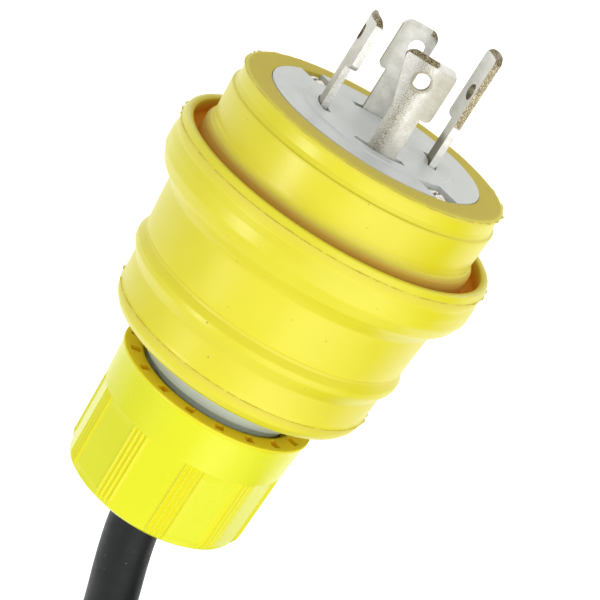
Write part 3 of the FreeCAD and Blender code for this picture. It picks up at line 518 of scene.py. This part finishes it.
# Rings of moulding flash: place along the axis, least radius, height
FLASHES = {
    "plug": [(-1.0, 39.6, 0.55), (-21.3, 47.2, 0.42), (-69.2, 38.95, 0.45)],
    "connector": [(-5.2, 45.15, 0.08), (-69.2, 38.95, 0.45)],
}
# Their unevenness: waves round the ring, seed for the first ring, step of the seed, weight
FLASH_WAVES = [(14, 1, 3.1, 1.0), (55, 2, 7.7, 0.7)]
FLASH_HALF_WIDTH = 0.16
FLASH_SHIFT = 0.12
# Share of the flash that stands where the unevenness is 0, and how fast it grows with it
FLASH_STANDS = 0.5
FLASH_CONTRAST = 1.3
# Share of its tint, a painted shade line under the fin, that is left where the flash is gone
FLASH_PALEST = 0.25


def make_boot(end):
    """One moulded boot with rounded edges and ragged flash along its parting rings."""

    def flash(x, r, angle, tint):
        for ring, (place, radius, height) in enumerate(FLASHES[end]):
            if abs(x - place) < FLASH_HALF_WIDTH and r > radius:
                uneven = 0.0
                for waves, seed, step, weight in FLASH_WAVES:
                    uneven += weight * ragged(angle, step * ring + seed, waves)
                left = max(0.0, min(1.0, FLASH_STANDS + FLASH_CONTRAST * uneven))
                # The kept tint is the painted shade line under the fin, paler where the fin is low.
                kept_tint = tint * (FLASH_PALEST + (1 - FLASH_PALEST) * left)
                return x + FLASH_SHIFT * uneven, r - height * (1 - left), kept_tint
        return x, r, tint

    name = f"{end}_boot_moulding"
    outline = BOOT_FRONT[end] + BOOT_REAR
    boot = turned(name, end, outline, segments=720, longest=2.2, shape=flash, sharp=30)
    finish_as(boot, "boot_rubber")
    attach(boot, "root")
    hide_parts(f"{end}_boot")
    return boot


boots = {end: make_boot(end) for end in ENDS}


# Cord nuts: one skin of rounded outline whose grip, ridges and recesses are raised and sunk

# Tints on the front face, in its recesses and in the grip's grooves are painted shade and painted
# bounce light.
NUT_OUTLINE = [
    (-84.1, 23.8, 0.25, 0.6),
    (-84.1, 24.78, 0.0, 0.6),
    (-84.1, 24.82, 0.0, 0.7),
    (-84.1, 27.98, 0.0, 0.7),
    (-84.1, 28.02, 0.0, 0.6),
    (-84.1, 29.5, 0.25, 0.4),
    (-84.9, 29.6, 0.2, 0.1),
    (-85.3, 29.1, 0.3, 0.0),
    (-96.9, 28.4, 0.1, 0.0),
    (-97.0, 28.4, 0.0, 0.05),
    (-97.25, 28.4, 0.0, 0.1),
    (-97.6, 28.38, 0.0, 0.0),
    (-119.2, 27.8, 0.6, 0.0),
    (-121.3, 26.9, 1.2, 0.0),
    (-122.8, 24.6, 0.8, 0.05),
    (-122.8, 9.35, 0.3, 0.3),
    (-114.8, 9.35, 0.0, 0.3),
    (-114.8, 20.3, 0.0, 0.5),
    (-107.0, 20.3, 0.0, 0.5),
    (-107.0, 22.06, 0.0, 0.5),
    (-86.5, 22.06, 0.0, 0.7),
    (-86.5, 23.8, 0.0, 0.8),
]
NUT_TURN = math.radians(13.7)
RECESSES = 18
RECESS_HALF = 1.2
RECESS_FRONT = -84.2
RECESS_IN, RECESS_OUT = 24.8, 28.0
RECESS_DEEP = 2.9
RECESS_TINT = 1.4
GRIP_FRONT, GRIP_BACK = -96.95, -122
GRIP_FADE_FRONT = (-97.0, -97.3)
GRIP_FADE_BACK = (-121.6, -120.2)
GRIP_INSIDE = 25
GRIP_DEEP = 0.62
SCOOP_DEEP = 0.45
RIDGE_GROUPS = 10
RIDGE_PITCH = math.radians(3.15)
RIDGE_DEEP = 0.6
GROUP_EDGE = math.radians(6.4)
GROUP_RISE = math.radians(0.5)
GROOVE_TINT = 0.3


def nut_skin(x, r, angle, tint):
    """Raise and sink the nut's outer skin and the recesses of its front face."""
    if x > RECESS_FRONT and RECESS_IN < r < RECESS_OUT:
        pitch = TAU / RECESSES
        away = (angle - NUT_TURN) % pitch - pitch / 2
        if abs(away) * r < RECESS_HALF:
            # Recesses: painted shade in deep orange.
            return x - RECESS_DEEP, r, RECESS_TINT
    if GRIP_BACK < x < GRIP_FRONT and r > GRIP_INSIDE:
        pitch = TAU / RIDGE_GROUPS
        away = (angle - NUT_TURN) % pitch - pitch / 2
        fade = share(x, *GRIP_FADE_FRONT) * share(x, *GRIP_FADE_BACK)
        if abs(away) < GROUP_EDGE:
            wave = (1 - math.cos(TAU * away / RIDGE_PITCH)) / 2
            inside = min(1.0, (GROUP_EDGE - abs(away)) / GROUP_RISE)
            sunk = RIDGE_DEEP * (1 - wave) * inside + GRIP_DEEP * (1 - inside)
            # Valleys between ridges: painted shade.
            return x, r - fade * sunk, GROOVE_TINT * fade * (1 - wave)
        scoop = (abs(away) - GROUP_EDGE) / (pitch / 2 - GROUP_EDGE)
        return x, r - fade * (GRIP_DEEP + SCOOP_DEEP * math.sin(scoop * math.pi / 2)), 0.0
    return x, r, tint


def make_nut(end):
    name = f"{end}_nut_moulding"
    nut = turned(name, end, NUT_OUTLINE, segments=900, longest=2.5, shape=nut_skin, sharp=28)
    finish_as(nut, "nut_plastic")
    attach(nut, f"{end}_nut")
    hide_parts(f"{end}_cord_nut")
    return nut


nuts = {end: make_nut(end) for end in ENDS}


# Core bodies: two-step collar and a threaded spigot, with holes for the assembly screws

# Tint is painted shade: it darkens the collar's step and the spigot, which the boot and the nut
# shade.
CORE_OUTLINE = [
    (-47.0, 24.0, 0.3, 0.0),
    (-47.0, 35.0, 0.3, 0.0),
    (-71.7, 35.0, 0.3, 0.0),
    (-71.7, 25.0, 0.2, 0.0),
    (-78.9, 25.0, 0.25, 0.0),
    (-79.2, 24.4, 0.15, 0.6),
    (-82.4, 24.3, 0.4, 0.9),
    (-82.4, 22.0, 0.1, 0.9),
    (-84.0, 22.0, 0.0, 0.7),
    (-105.0, 22.0, 0.0, 0.0),
    (-106.0, 21.2, 0.2, 0.0),
    (-106.0, 18.0, 0.3, 0.0),
    (-90.0, 18.0, 0.0, 0.3),
    (-90.0, 9.0, 0.3, 0.3),
    (-67.9, 9.0, 0.2, 0.3),
    (-67.9, 24.0, 0.0, 0.3),
]
THREAD_FRONT = -83.8
THREAD_BACK = -104.8
THREAD_INSIDE = 21.9
THREAD_PITCH = 3.0
THREAD_DEPTH = 1.1
THREAD_FADE = 1.2
# The bore of an assembly screw, from its axis outwards
BORE_OUTLINE = [
    (-40.0, 0.02, 0.0, 0.0),
    (-40.0, 2.0, 0.0, 0.0),
    (-58.9, 2.0, 0.0, 0.0),
    (-58.9, 0.02, 0.0, 0.0),
]
SCREW_CIRCLE = 27.8
SCREW_ANGLES = (-40, 140)


def thread(x, r, angle, tint):
    """Cut a round thread into the spigot, fading in and out at its ends."""
    if THREAD_BACK < x < THREAD_FRONT and r > THREAD_INSIDE:
        fade = min(1.0, (THREAD_FRONT - x) / THREAD_FADE, (x - THREAD_BACK) / THREAD_FADE)
        wave = (1 - math.cos(TAU * (x / THREAD_PITCH + angle / TAU))) / 2
        return x, r - THREAD_DEPTH * fade * wave, tint
    return x, r, tint


def ring_group(end, outline, segments, longest, shape=None):
    """Points, faces and tints of an outline turned about each assembly screw's axis."""
    points, faces, tints = [], [], []
    for degrees in SCREW_ANGLES:
        turn = math.radians(degrees)
        centre = end_origin(end) + Vector((0, math.cos(turn), math.sin(turn))) * SCREW_CIRCLE * MM
        more_points, more_faces, more_tints = ring_mesh(outline, centre, segments, longest, shape)
        faces += [tuple(len(points) + corner for corner in face) for face in more_faces]
        points += more_points
        tints += more_tints
    return points, faces, tints


def drill(item, end):
    """Cut the holes of the assembly screws out of a piece."""
    points, faces, _ = ring_group(end, BORE_OUTLINE, segments=32, longest=30.0)
    cutter = mesh_object("cutter", points, faces)
    cut = item.modifiers.new("holes", "BOOLEAN")
    cut.operation = "DIFFERENCE"
    cut.solver = "EXACT"
    cut.object = cutter
    item.data = shaped(item)
    bpy.data.objects.remove(cutter)


def make_core(end):
    name = f"{end}_core_moulding"
    core = turned(name, end, CORE_OUTLINE, segments=288, longest=0.3, shape=thread, sharp=40)
    drill(core, end)
    finish_as(core, "core_grey")
    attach(core, "root")
    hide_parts(f"{end}_core_body")
    return core


# Assembly screws: domed, slotted heads in the notches of the disc's rim

SCREW_OUTLINE = [
    (-0.7, 0.0, 0.0, 0.0),
    (-0.8, 1.6, 0.8, 0.0),
    (-1.4, 2.9, 0.5, 0.0),
    (-2.0, 3.2, 0.3, 0.0),
    (-3.95, 3.2, 0.1, 0.0),
    (-3.95, 1.9, 0.0, 0.0),
    (-58.2, 1.9, 0.3, 0.0),
    (-58.6, 0.0, 0.0, 0.0),
]
WELD = 1e-6
HEAD_TOP = -0.7
SLOT_TURN = math.radians(65)
SLOT_HALF = 0.45
SLOT_DEEP = 1.1
SLOT_REACH = -1.9


def slotted(x, r, angle, tint):
    """Sink the slot into a screw's head."""
    across = abs(r * math.sin(angle - SLOT_TURN))
    if x > SLOT_REACH and across < SLOT_HALF:
        return min(x, HEAD_TOP - SLOT_DEEP), r, tint
    return x, r, tint


def make_screws(end):
    group = ring_group(end, SCREW_OUTLINE, segments=96, longest=0.3, shape=slotted)
    screws = tinted_object(f"{end}_notch_screws", *group, sharp=30)
    shape = bmesh.new()
    shape.from_mesh(screws.data)
    bmesh.ops.remove_doubles(shape, verts=shape.verts, dist=WELD)
    shape.to_mesh(screws.data)
    shape.free()
    finish_as(screws, "screw_steel")
    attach(screws, "root")
    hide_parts(f"{end}_assembly_screws")
    return screws


screws = {end: make_screws(end) for end in ENDS}
cores = {end: make_core(end) for end in ENDS}


# The discs keep their CAD shape and get softly rounded edges

ROUNDED_FROM = math.radians(35)


def round_edges(item, width, segments):
    bevel = item.modifiers.new("rounded edges", "BEVEL")
    bevel.width = width
    bevel.segments = segments
    bevel.limit_method = "ANGLE"
    bevel.angle_limit = ROUNDED_FROM
    bevel.harden_normals = False
    bevel.use_clamp_overlap = True


for end in ENDS:
    round_edges(frame["nodes"][f"{end}_face_insert"], width=0.25 * MM, segments=3)


# Blades: the CAD shapes with rounded edges, finely divided so that painted shade and painted
# reflection can be laid on them.
# Places on a blade are in millimetres: x out along it from the disc's face, u across it.

BLADES = ("ground", "line_x", "neutral", "line_y")
BLADE_TURN = 191.5
BLADE_SPACING = 90
BLADE_DIVISION = 0.6
BLADE_ALONG = (0.0, 34.0)
BLADE_ACROSS = (-7.8, 7.0)
BISECT_ACCURACY = 1e-7
# The hole in a blade: its middle along and across the blade, its radius, and how far its sides reach
HOLE_PLACE = 21.2
HOLE_SHIFT = {"ground": -0.9, "line_x": 2.4}
HOLE_RADIUS = 2.55
HOLE_REACH = 2.6
HOOK_START = 12.4
# How far the surface faces towards the blade's edges, on a cut side and on the rounding beside it
SIDE_FROM = 0.92
ROUNDING_FROM = 0.46
# How far it faces out along the blade on the tip, and where across the blade the tip is pale
TIP_FROM = 0.22
PALE_TIP_FROM = {"ground": 0.6, "neutral": -1.5}
GROUND_BRIGHT_ACROSS, GROUND_BRIGHT_ALONG = -2, 24
# Where each mark on a face starts and where it is full
BAND_MIDDLE = -2.0
BAND = (2.8, 0.3)
HOLE_RIM = (0.4, 0.1)
GROUND_FOOT = (9.0, 0.0)
GROUND_FAR_ACROSS = (0.0, 3.0)
GROUND_FAR_ALONG = (8.0, 14.0)
CORNER_SLANT = 0.6
CORNER = (27.0, 29.0)
LINE_X_FOOT = (9.0, 6.0)
LINE_Y_FOOT = (24.0, 14.0)
# Tone and speckle: of a place, or what a mark adds where it is full
# Most of these tones are painted shade and painted reflection: the hole's sides and rim, the cut
# sides and their roundings, the ground blade's band and far part; the bright edges are left pale
# where they catch light.
PAINT = {
    "hole_outer_side": (1.0, 0.3),
    "hole_inner_side": (1.7, 0.3),
    "pale_tip": (0.3, 0.0),
    "dark_tip": (2.0, 0.6),
    "ground_bright_edge": (0.0, 0.0),
    "ground_shaded_edge": (1.5, 0.2),
    "ground_plate": (0.3, 0.25),
    "ground_band": (0.35, 0.7),
    "ground_foot": (0.1, 0.0),
    "ground_far": (0.45, 0.0),
    "ground_rim": (0.7, 0.0),
    "neutral_shaded_edge": (1.4, 0.2),
    "neutral_grey_edge": (0.9, 0.1),
    "neutral_plate": (0.14, 0.1),
    "neutral_corner": (1.6, 0.8),
    "line_x_shaded_side": (1.7, 0.8),
    "line_x_bright_side": (0.0, 0.0),
    "line_x_plate": (0.0, 0.1),
    "line_x_foot": (1.2, 0.0),
    "line_x_rounding": (0.9, 0.0),
    "line_y_rounding": (2.0, 0.1),
    "line_y_side": (0.0, 0.35),
    "line_y_plate": (0.3, 0.08),
    "line_y_foot": (0.3, 0.0),
}


def paint(**marks):
    """Tone and speckle of several marks together, each as strong as the number with it."""
    return [sum(PAINT[mark][k] * strength for mark, strength in marks.items()) for k in (0, 1)]


def shade_and_speckle(name, x, u, cut, ahead):
    """Tone and speckle of a spot on a blade; most of the tone is painted shade and painted
    reflection.

    cut is 1 on the cut sides and near 0 on the two faces; ahead tells how far the surface faces
    out along the blade.
    """
    side = cut > SIDE_FROM
    rounding = ROUNDING_FROM < cut <= SIDE_FROM
    from_hole = math.hypot(x - HOLE_PLACE, u - HOLE_SHIFT.get(name, 0.0))
    # The hole's sides: painted shade.
    if side and from_hole < HOLE_REACH:
        return PAINT["hole_outer_side" if x > HOLE_PLACE else "hole_inner_side"]
    # Tips: darker, except a pale part across some blades.
    if ahead > TIP_FROM:
        return PAINT["pale_tip" if u > PALE_TIP_FROM.get(name, math.inf) else "dark_tip"]
    if name == "ground":
        # The ground blade's cut edges: painted shade, left pale near the foot on the side that
        # catches light.
        if side or rounding:
            bright = u < GROUND_BRIGHT_ACROSS and x < GROUND_BRIGHT_ALONG
            return PAINT["ground_bright_edge" if bright else "ground_shaded_edge"]
        # band is a painted reflection of a dark surrounding, rim a painted shade ring round the
        # hole, far a painted shade that dims a reflected lamp.
        band = share(abs(u - BAND_MIDDLE), *BAND)
        rim = share(abs(from_hole - HOLE_RADIUS), *HOLE_RIM)
        far = share(u, *GROUND_FAR_ACROSS) * share(x, *GROUND_FAR_ALONG)
        foot = share(x, *GROUND_FOOT)
        return paint(
            ground_plate=1, ground_band=band, ground_rim=rim, ground_far=far, ground_foot=foot)
    if name == "neutral":
        # The neutral blade's cut edges: painted shade.
        if side or rounding:
            return PAINT["neutral_shaded_edge" if u > 0 else "neutral_grey_edge"]
        corner = share(x + CORNER_SLANT * abs(u), *CORNER) if u < 0 else 0.0
        return paint(neutral_plate=1, neutral_corner=corner)
    if name == "line_x":
        # The line_x blade's cut side past the hook and its roundings: painted shade.
        if side and u < 0:
            return PAINT["line_x_shaded_side" if x > HOOK_START else "line_x_bright_side"]
        return paint(line_x_plate=1, line_x_foot=share(x, *LINE_X_FOOT), line_x_rounding=rounding)
    # The line_y blade's roundings: painted shade.
    if rounding:
        return PAINT["line_y_rounding"]
    if side:
        return PAINT["line_y_side"]
    return paint(line_y_plate=1, line_y_foot=share(x, *LINE_Y_FOOT))


def make_blade(name, index):
    """A copy of a CAD blade with rounded edges, small faces and a painted tone, mostly painted shade
    and painted reflection.
    """
    source = frame["nodes"][f"blade_{name}"]
    round_edges(source, width=0.16 * MM, segments=2)
    data = shaped(source)
    data.transform(source.matrix_world)
    shape = bmesh.new()
    shape.from_mesh(data)
    turn = math.radians(BLADE_TURN + BLADE_SPACING * index)
    across = Vector((0, math.cos(turn), math.sin(turn)))
    along = Vector((1, 0, 0))
    origin = end_origin("plug")
    for way, (first, last) in ((along, BLADE_ALONG), (across, BLADE_ACROSS)):
        for k in range(math.ceil((last - first) / BLADE_DIVISION)):
            spot = origin + way * (first + k * BLADE_DIVISION) * MM
            geometry = shape.verts[:] + shape.edges[:] + shape.faces[:]
            bmesh.ops.bisect_plane(
                shape, geom=geometry, dist=BISECT_ACCURACY, plane_co=spot, plane_no=way)
    shape.normal_update()
    tones, speckles = [], []
    for vert in shape.verts:
        spot = (vert.co - origin) / MM
        cut = math.hypot(vert.normal.dot(across), vert.normal.x)
        tone, speckle = shade_and_speckle(name, spot.x, spot.dot(across), cut, vert.normal.x)
        tones.append(tone)
        speckles.append(speckle)
    shape.to_mesh(data)
    shape.free()
    painted(data, "tone", tones)
    painted(data, "speckle", speckles)
    smooth(data, sharp=40)
    blade = finish_as(new_object(f"blade_{name}_plated", data), "blade_metal")
    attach(blade, "root")
    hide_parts(f"blade_{name}")


for index, name in enumerate(BLADES):
    make_blade(name, index)


# Free cord: one spline from the plug's nut, through the coil, to the connector's nut.
# The points of the two free stretches are those of the CAD tube, moved a little to follow
# the photograph; the coil's turns come from the loop.

CORD_RADIUS = 7.75
RUN_POINTS = [
    (-86.1, 0.0, 47.65),
    (-98.1, -2.2, 46.9),
    (-115.0, -6.6, 43.9),
    (-134.5, -10.6, 36.5),
    (-159.0, -11.6, 19.6),
    (-178.2, -10.2, 11.0),
    (-196.0, -8.9, 7.75),
]
TAIL_POINTS = [
    (-148.8, -206.7, 55.75),
    (-133.3, -200.6, 53.2),
    (-115.9, -196.6, 48.8),
    (-97.9, -196.0, 45.2),
]
COIL_CENTRE = Vector((-230.4, -122.0, CORD_RADIUS))
COIL_OUTER = 113.1
COIL_START = math.radians(90)
TURN_GAP = 0.5
TURN_STEP = 2 * CORD_RADIUS + TURN_GAP
COIL_TURNS = 13.5778
COIL_LAYERS = 4
# Turns from the middle of the climb to the next layer to its end
CLIMB_HALF = 0.26
POINTS_A_TURN = 16
STRAIGHT_END = 15.5
CONNECTOR_NODES = ("connector_", "contact_")


def coil_point(turns):
    """Middle of the cord after so many turns, in millimetres."""
    layer_turns = COIL_TURNS / COIL_LAYERS
    layer = min(int(turns / layer_turns), COIL_LAYERS - 1)
    inside = turns - layer * layer_turns
    radius = COIL_OUTER - TURN_STEP * (inside if layer % 2 == 0 else layer_turns - inside)
    nearest = round(turns / layer_turns)
    part = (turns - nearest * layer_turns) / CLIMB_HALF
    height = TURN_STEP * layer
    if 0 < nearest < COIL_LAYERS and abs(part) < 1:
        height = TURN_STEP * (nearest - 0.5 + math.sin(part * math.pi / 2) / 2)
    angle = COIL_START + TAU * turns
    radius /= math.cos(math.pi / POINTS_A_TURN)
    return COIL_CENTRE + Vector((radius * math.cos(angle), radius * math.sin(angle), height))


def coil_end(turns, way):
    """Where the coil's straight end stops: along the tangent at its first or last point."""
    angle = COIL_START + TAU * turns
    height = 0 if turns == 0 else TURN_STEP * (COIL_LAYERS - 1)
    out = Vector((math.cos(angle), math.sin(angle), 0))
    along = Vector((-out.y, out.x, 0))
    return COIL_CENTRE + out * COIL_OUTER + Vector((0, 0, height)) + along * STRAIGHT_END * way


def cord_points():
    """Control points of the whole cord, in metres, up to where it is stripped in the connector."""
    plug, connector = end_origin("plug"), end_origin("connector")
    start = Vector((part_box("plug_cord_nut")[0].x, plug.y, plug.z)) / MM
    end = Vector((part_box("connector_cable_end")[1].x, connector.y, connector.z)) / MM
    count = round(COIL_TURNS * POINTS_A_TURN)
    turns = [COIL_TURNS * (i + 0.5) / count for i in range(count)]
    points = [start] + [Vector(p) for p in RUN_POINTS] + [coil_end(0, -1)]
    points += [coil_point(t) for t in turns]
    points += [coil_end(COIL_TURNS, 1)] + [Vector(p) for p in TAIL_POINTS] + [end]
    return [p * MM for p in points]


SPLINE_ORDER = 3
STEPS_ALONG = 6
STEPS_ROUND = 9


def spline_curve(name, points, radius):
    curve = bpy.data.curves.new(name, "CURVE")
    curve.dimensions = "3D"
    spline = curve.splines.new("NURBS")
    spline.points.add(len(points) - 1)
    for spot, point in zip(spline.points, points):
        spot.co = (*point, 1)
    spline.order_u = SPLINE_ORDER
    spline.use_endpoint_u = True
    spline.resolution_u = STEPS_ALONG
    curve.bevel_depth = radius
    curve.bevel_resolution = STEPS_ROUND
    curve.use_fill_caps = True
    return new_object(name, curve)


points = cord_points()
cord = finish_as(spline_curve("cord", points, CORD_RADIUS * MM), "cord_jacket")
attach(cord, "root")
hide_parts("cord_run", "cord_coil", "cord_tail", "connector_cable_end")
connector_parts = [pieces["connector"] for pieces in (boots, nuts, screws, cores)]
for name, item in frame["nodes"].items():
    if name.startswith(CONNECTOR_NODES):
        connector_parts.append(item)


# Stage: a pale floor, a soft world and studio lamps

def seen(tree):
    """1 where a camera, glossy or transmission ray looks, 0 for the light that the stage gives."""
    path = tree.nodes.new("ShaderNodeLightPath")
    total = path.outputs["Is Camera Ray"]
    for name in ("Is Glossy Ray", "Is Transmission Ray"):
        node = tree.nodes.new("ShaderNodeMath")
        node.operation = "ADD"
        node.use_clamp = True
        tree.links.new(total, node.inputs[0])
        tree.links.new(path.outputs[name], node.inputs[1])
        total = node.outputs[0]
    return total


def scaled(tree, value, least, most, target):
    """Feed a socket with least where value is 0 and most where it is 1."""
    node = tree.nodes.new("ShaderNodeMapRange")
    node.inputs["To Min"].default_value = least
    node.inputs["To Max"].default_value = most
    tree.links.new(value, node.inputs["Value"])
    tree.links.new(node.outputs["Result"], target)


FLOOR_HALF = 4
FLOOR_COLOUR = (0.8, 0.8, 0.8, 1)
FLOOR_LIFT = 0.72
WORLD_LIGHT = 0.52
WHITE = (1, 1, 1, 1)


def stage():
    corners = [(x * FLOOR_HALF, y * FLOOR_HALF, 0) for x, y in ((-1, -1), (1, -1), (1, 1), (-1, 1))]
    floor = mesh_object("floor", corners, [(0, 1, 2, 3)])
    m = Nodes("floor_paper")
    m.set(Base_Color=FLOOR_COLOUR, Roughness=0.9, Specular_IOR_Level=0.1, Emission_Color=WHITE)
    scaled(m.tree, seen(m.tree), 0.0, FLOOR_LIFT, m.shader.inputs["Emission Strength"])
    floor.data.materials.append(m.material)
    world = bpy.context.scene.world or bpy.data.worlds.new("world")
    bpy.context.scene.world = world
    world.use_nodes = True
    background = world.node_tree.nodes["Background"]
    background.inputs["Color"].default_value = WHITE
    scaled(world.node_tree, seen(world.node_tree), WORLD_LIGHT, 1.0, background.inputs["Strength"])


LAMP_AIM = Vector((0, 0, 0.04))


def lamp(name, place, size, power):
    data = bpy.data.lights.new(name, "AREA")
    data.shape = "DISK"
    data.size = size
    data.energy = power
    item = new_object(name, data)
    item.location = place
    item.rotation_mode = "QUATERNION"
    item.rotation_quaternion = (LAMP_AIM - Vector(place)).to_track_quat("-Z", "Y")


stage()
lamp("key", place=(-0.3, 0.85, 1.1), size=0.4, power=4.2)
lamp("fill", place=(-0.1, -0.8, 1.05), size=1.6, power=10)


# Camera, placed and turned as the photographed circles say

CAMERA_FROM_FACE = Vector((126.45, 0.0, 518.68))
SIDE = Vector((0.5083, -0.8456, -0.1633))
UP = Vector((0.7981, 0.5338, -0.2795))
SENSOR = 36.0
# Focal length in widths of the picture
FOCAL_IN_FRAMES = 2023.06 / 600
NEAREST, FARTHEST = 0.01, 20

camera_data = bpy.data.cameras.new("camera")
camera = new_object("camera", camera_data)
camera_data.sensor_fit = "HORIZONTAL"
camera_data.sensor_width = SENSOR
camera_data.lens = FOCAL_IN_FRAMES * SENSOR
camera_data.clip_start = NEAREST
camera_data.clip_end = FARTHEST
side = SIDE.normalized()
up = (UP - side * UP.dot(side)).normalized()
back = side.cross(up)
turn = Matrix((side, up, back)).transposed().to_4x4()
camera.matrix_world = Matrix.Translation(end_origin("plug") + CAMERA_FROM_FACE * MM) @ turn
bpy.context.scene.camera = camera
bpy.context.scene.view_settings.view_transform = "Standard"
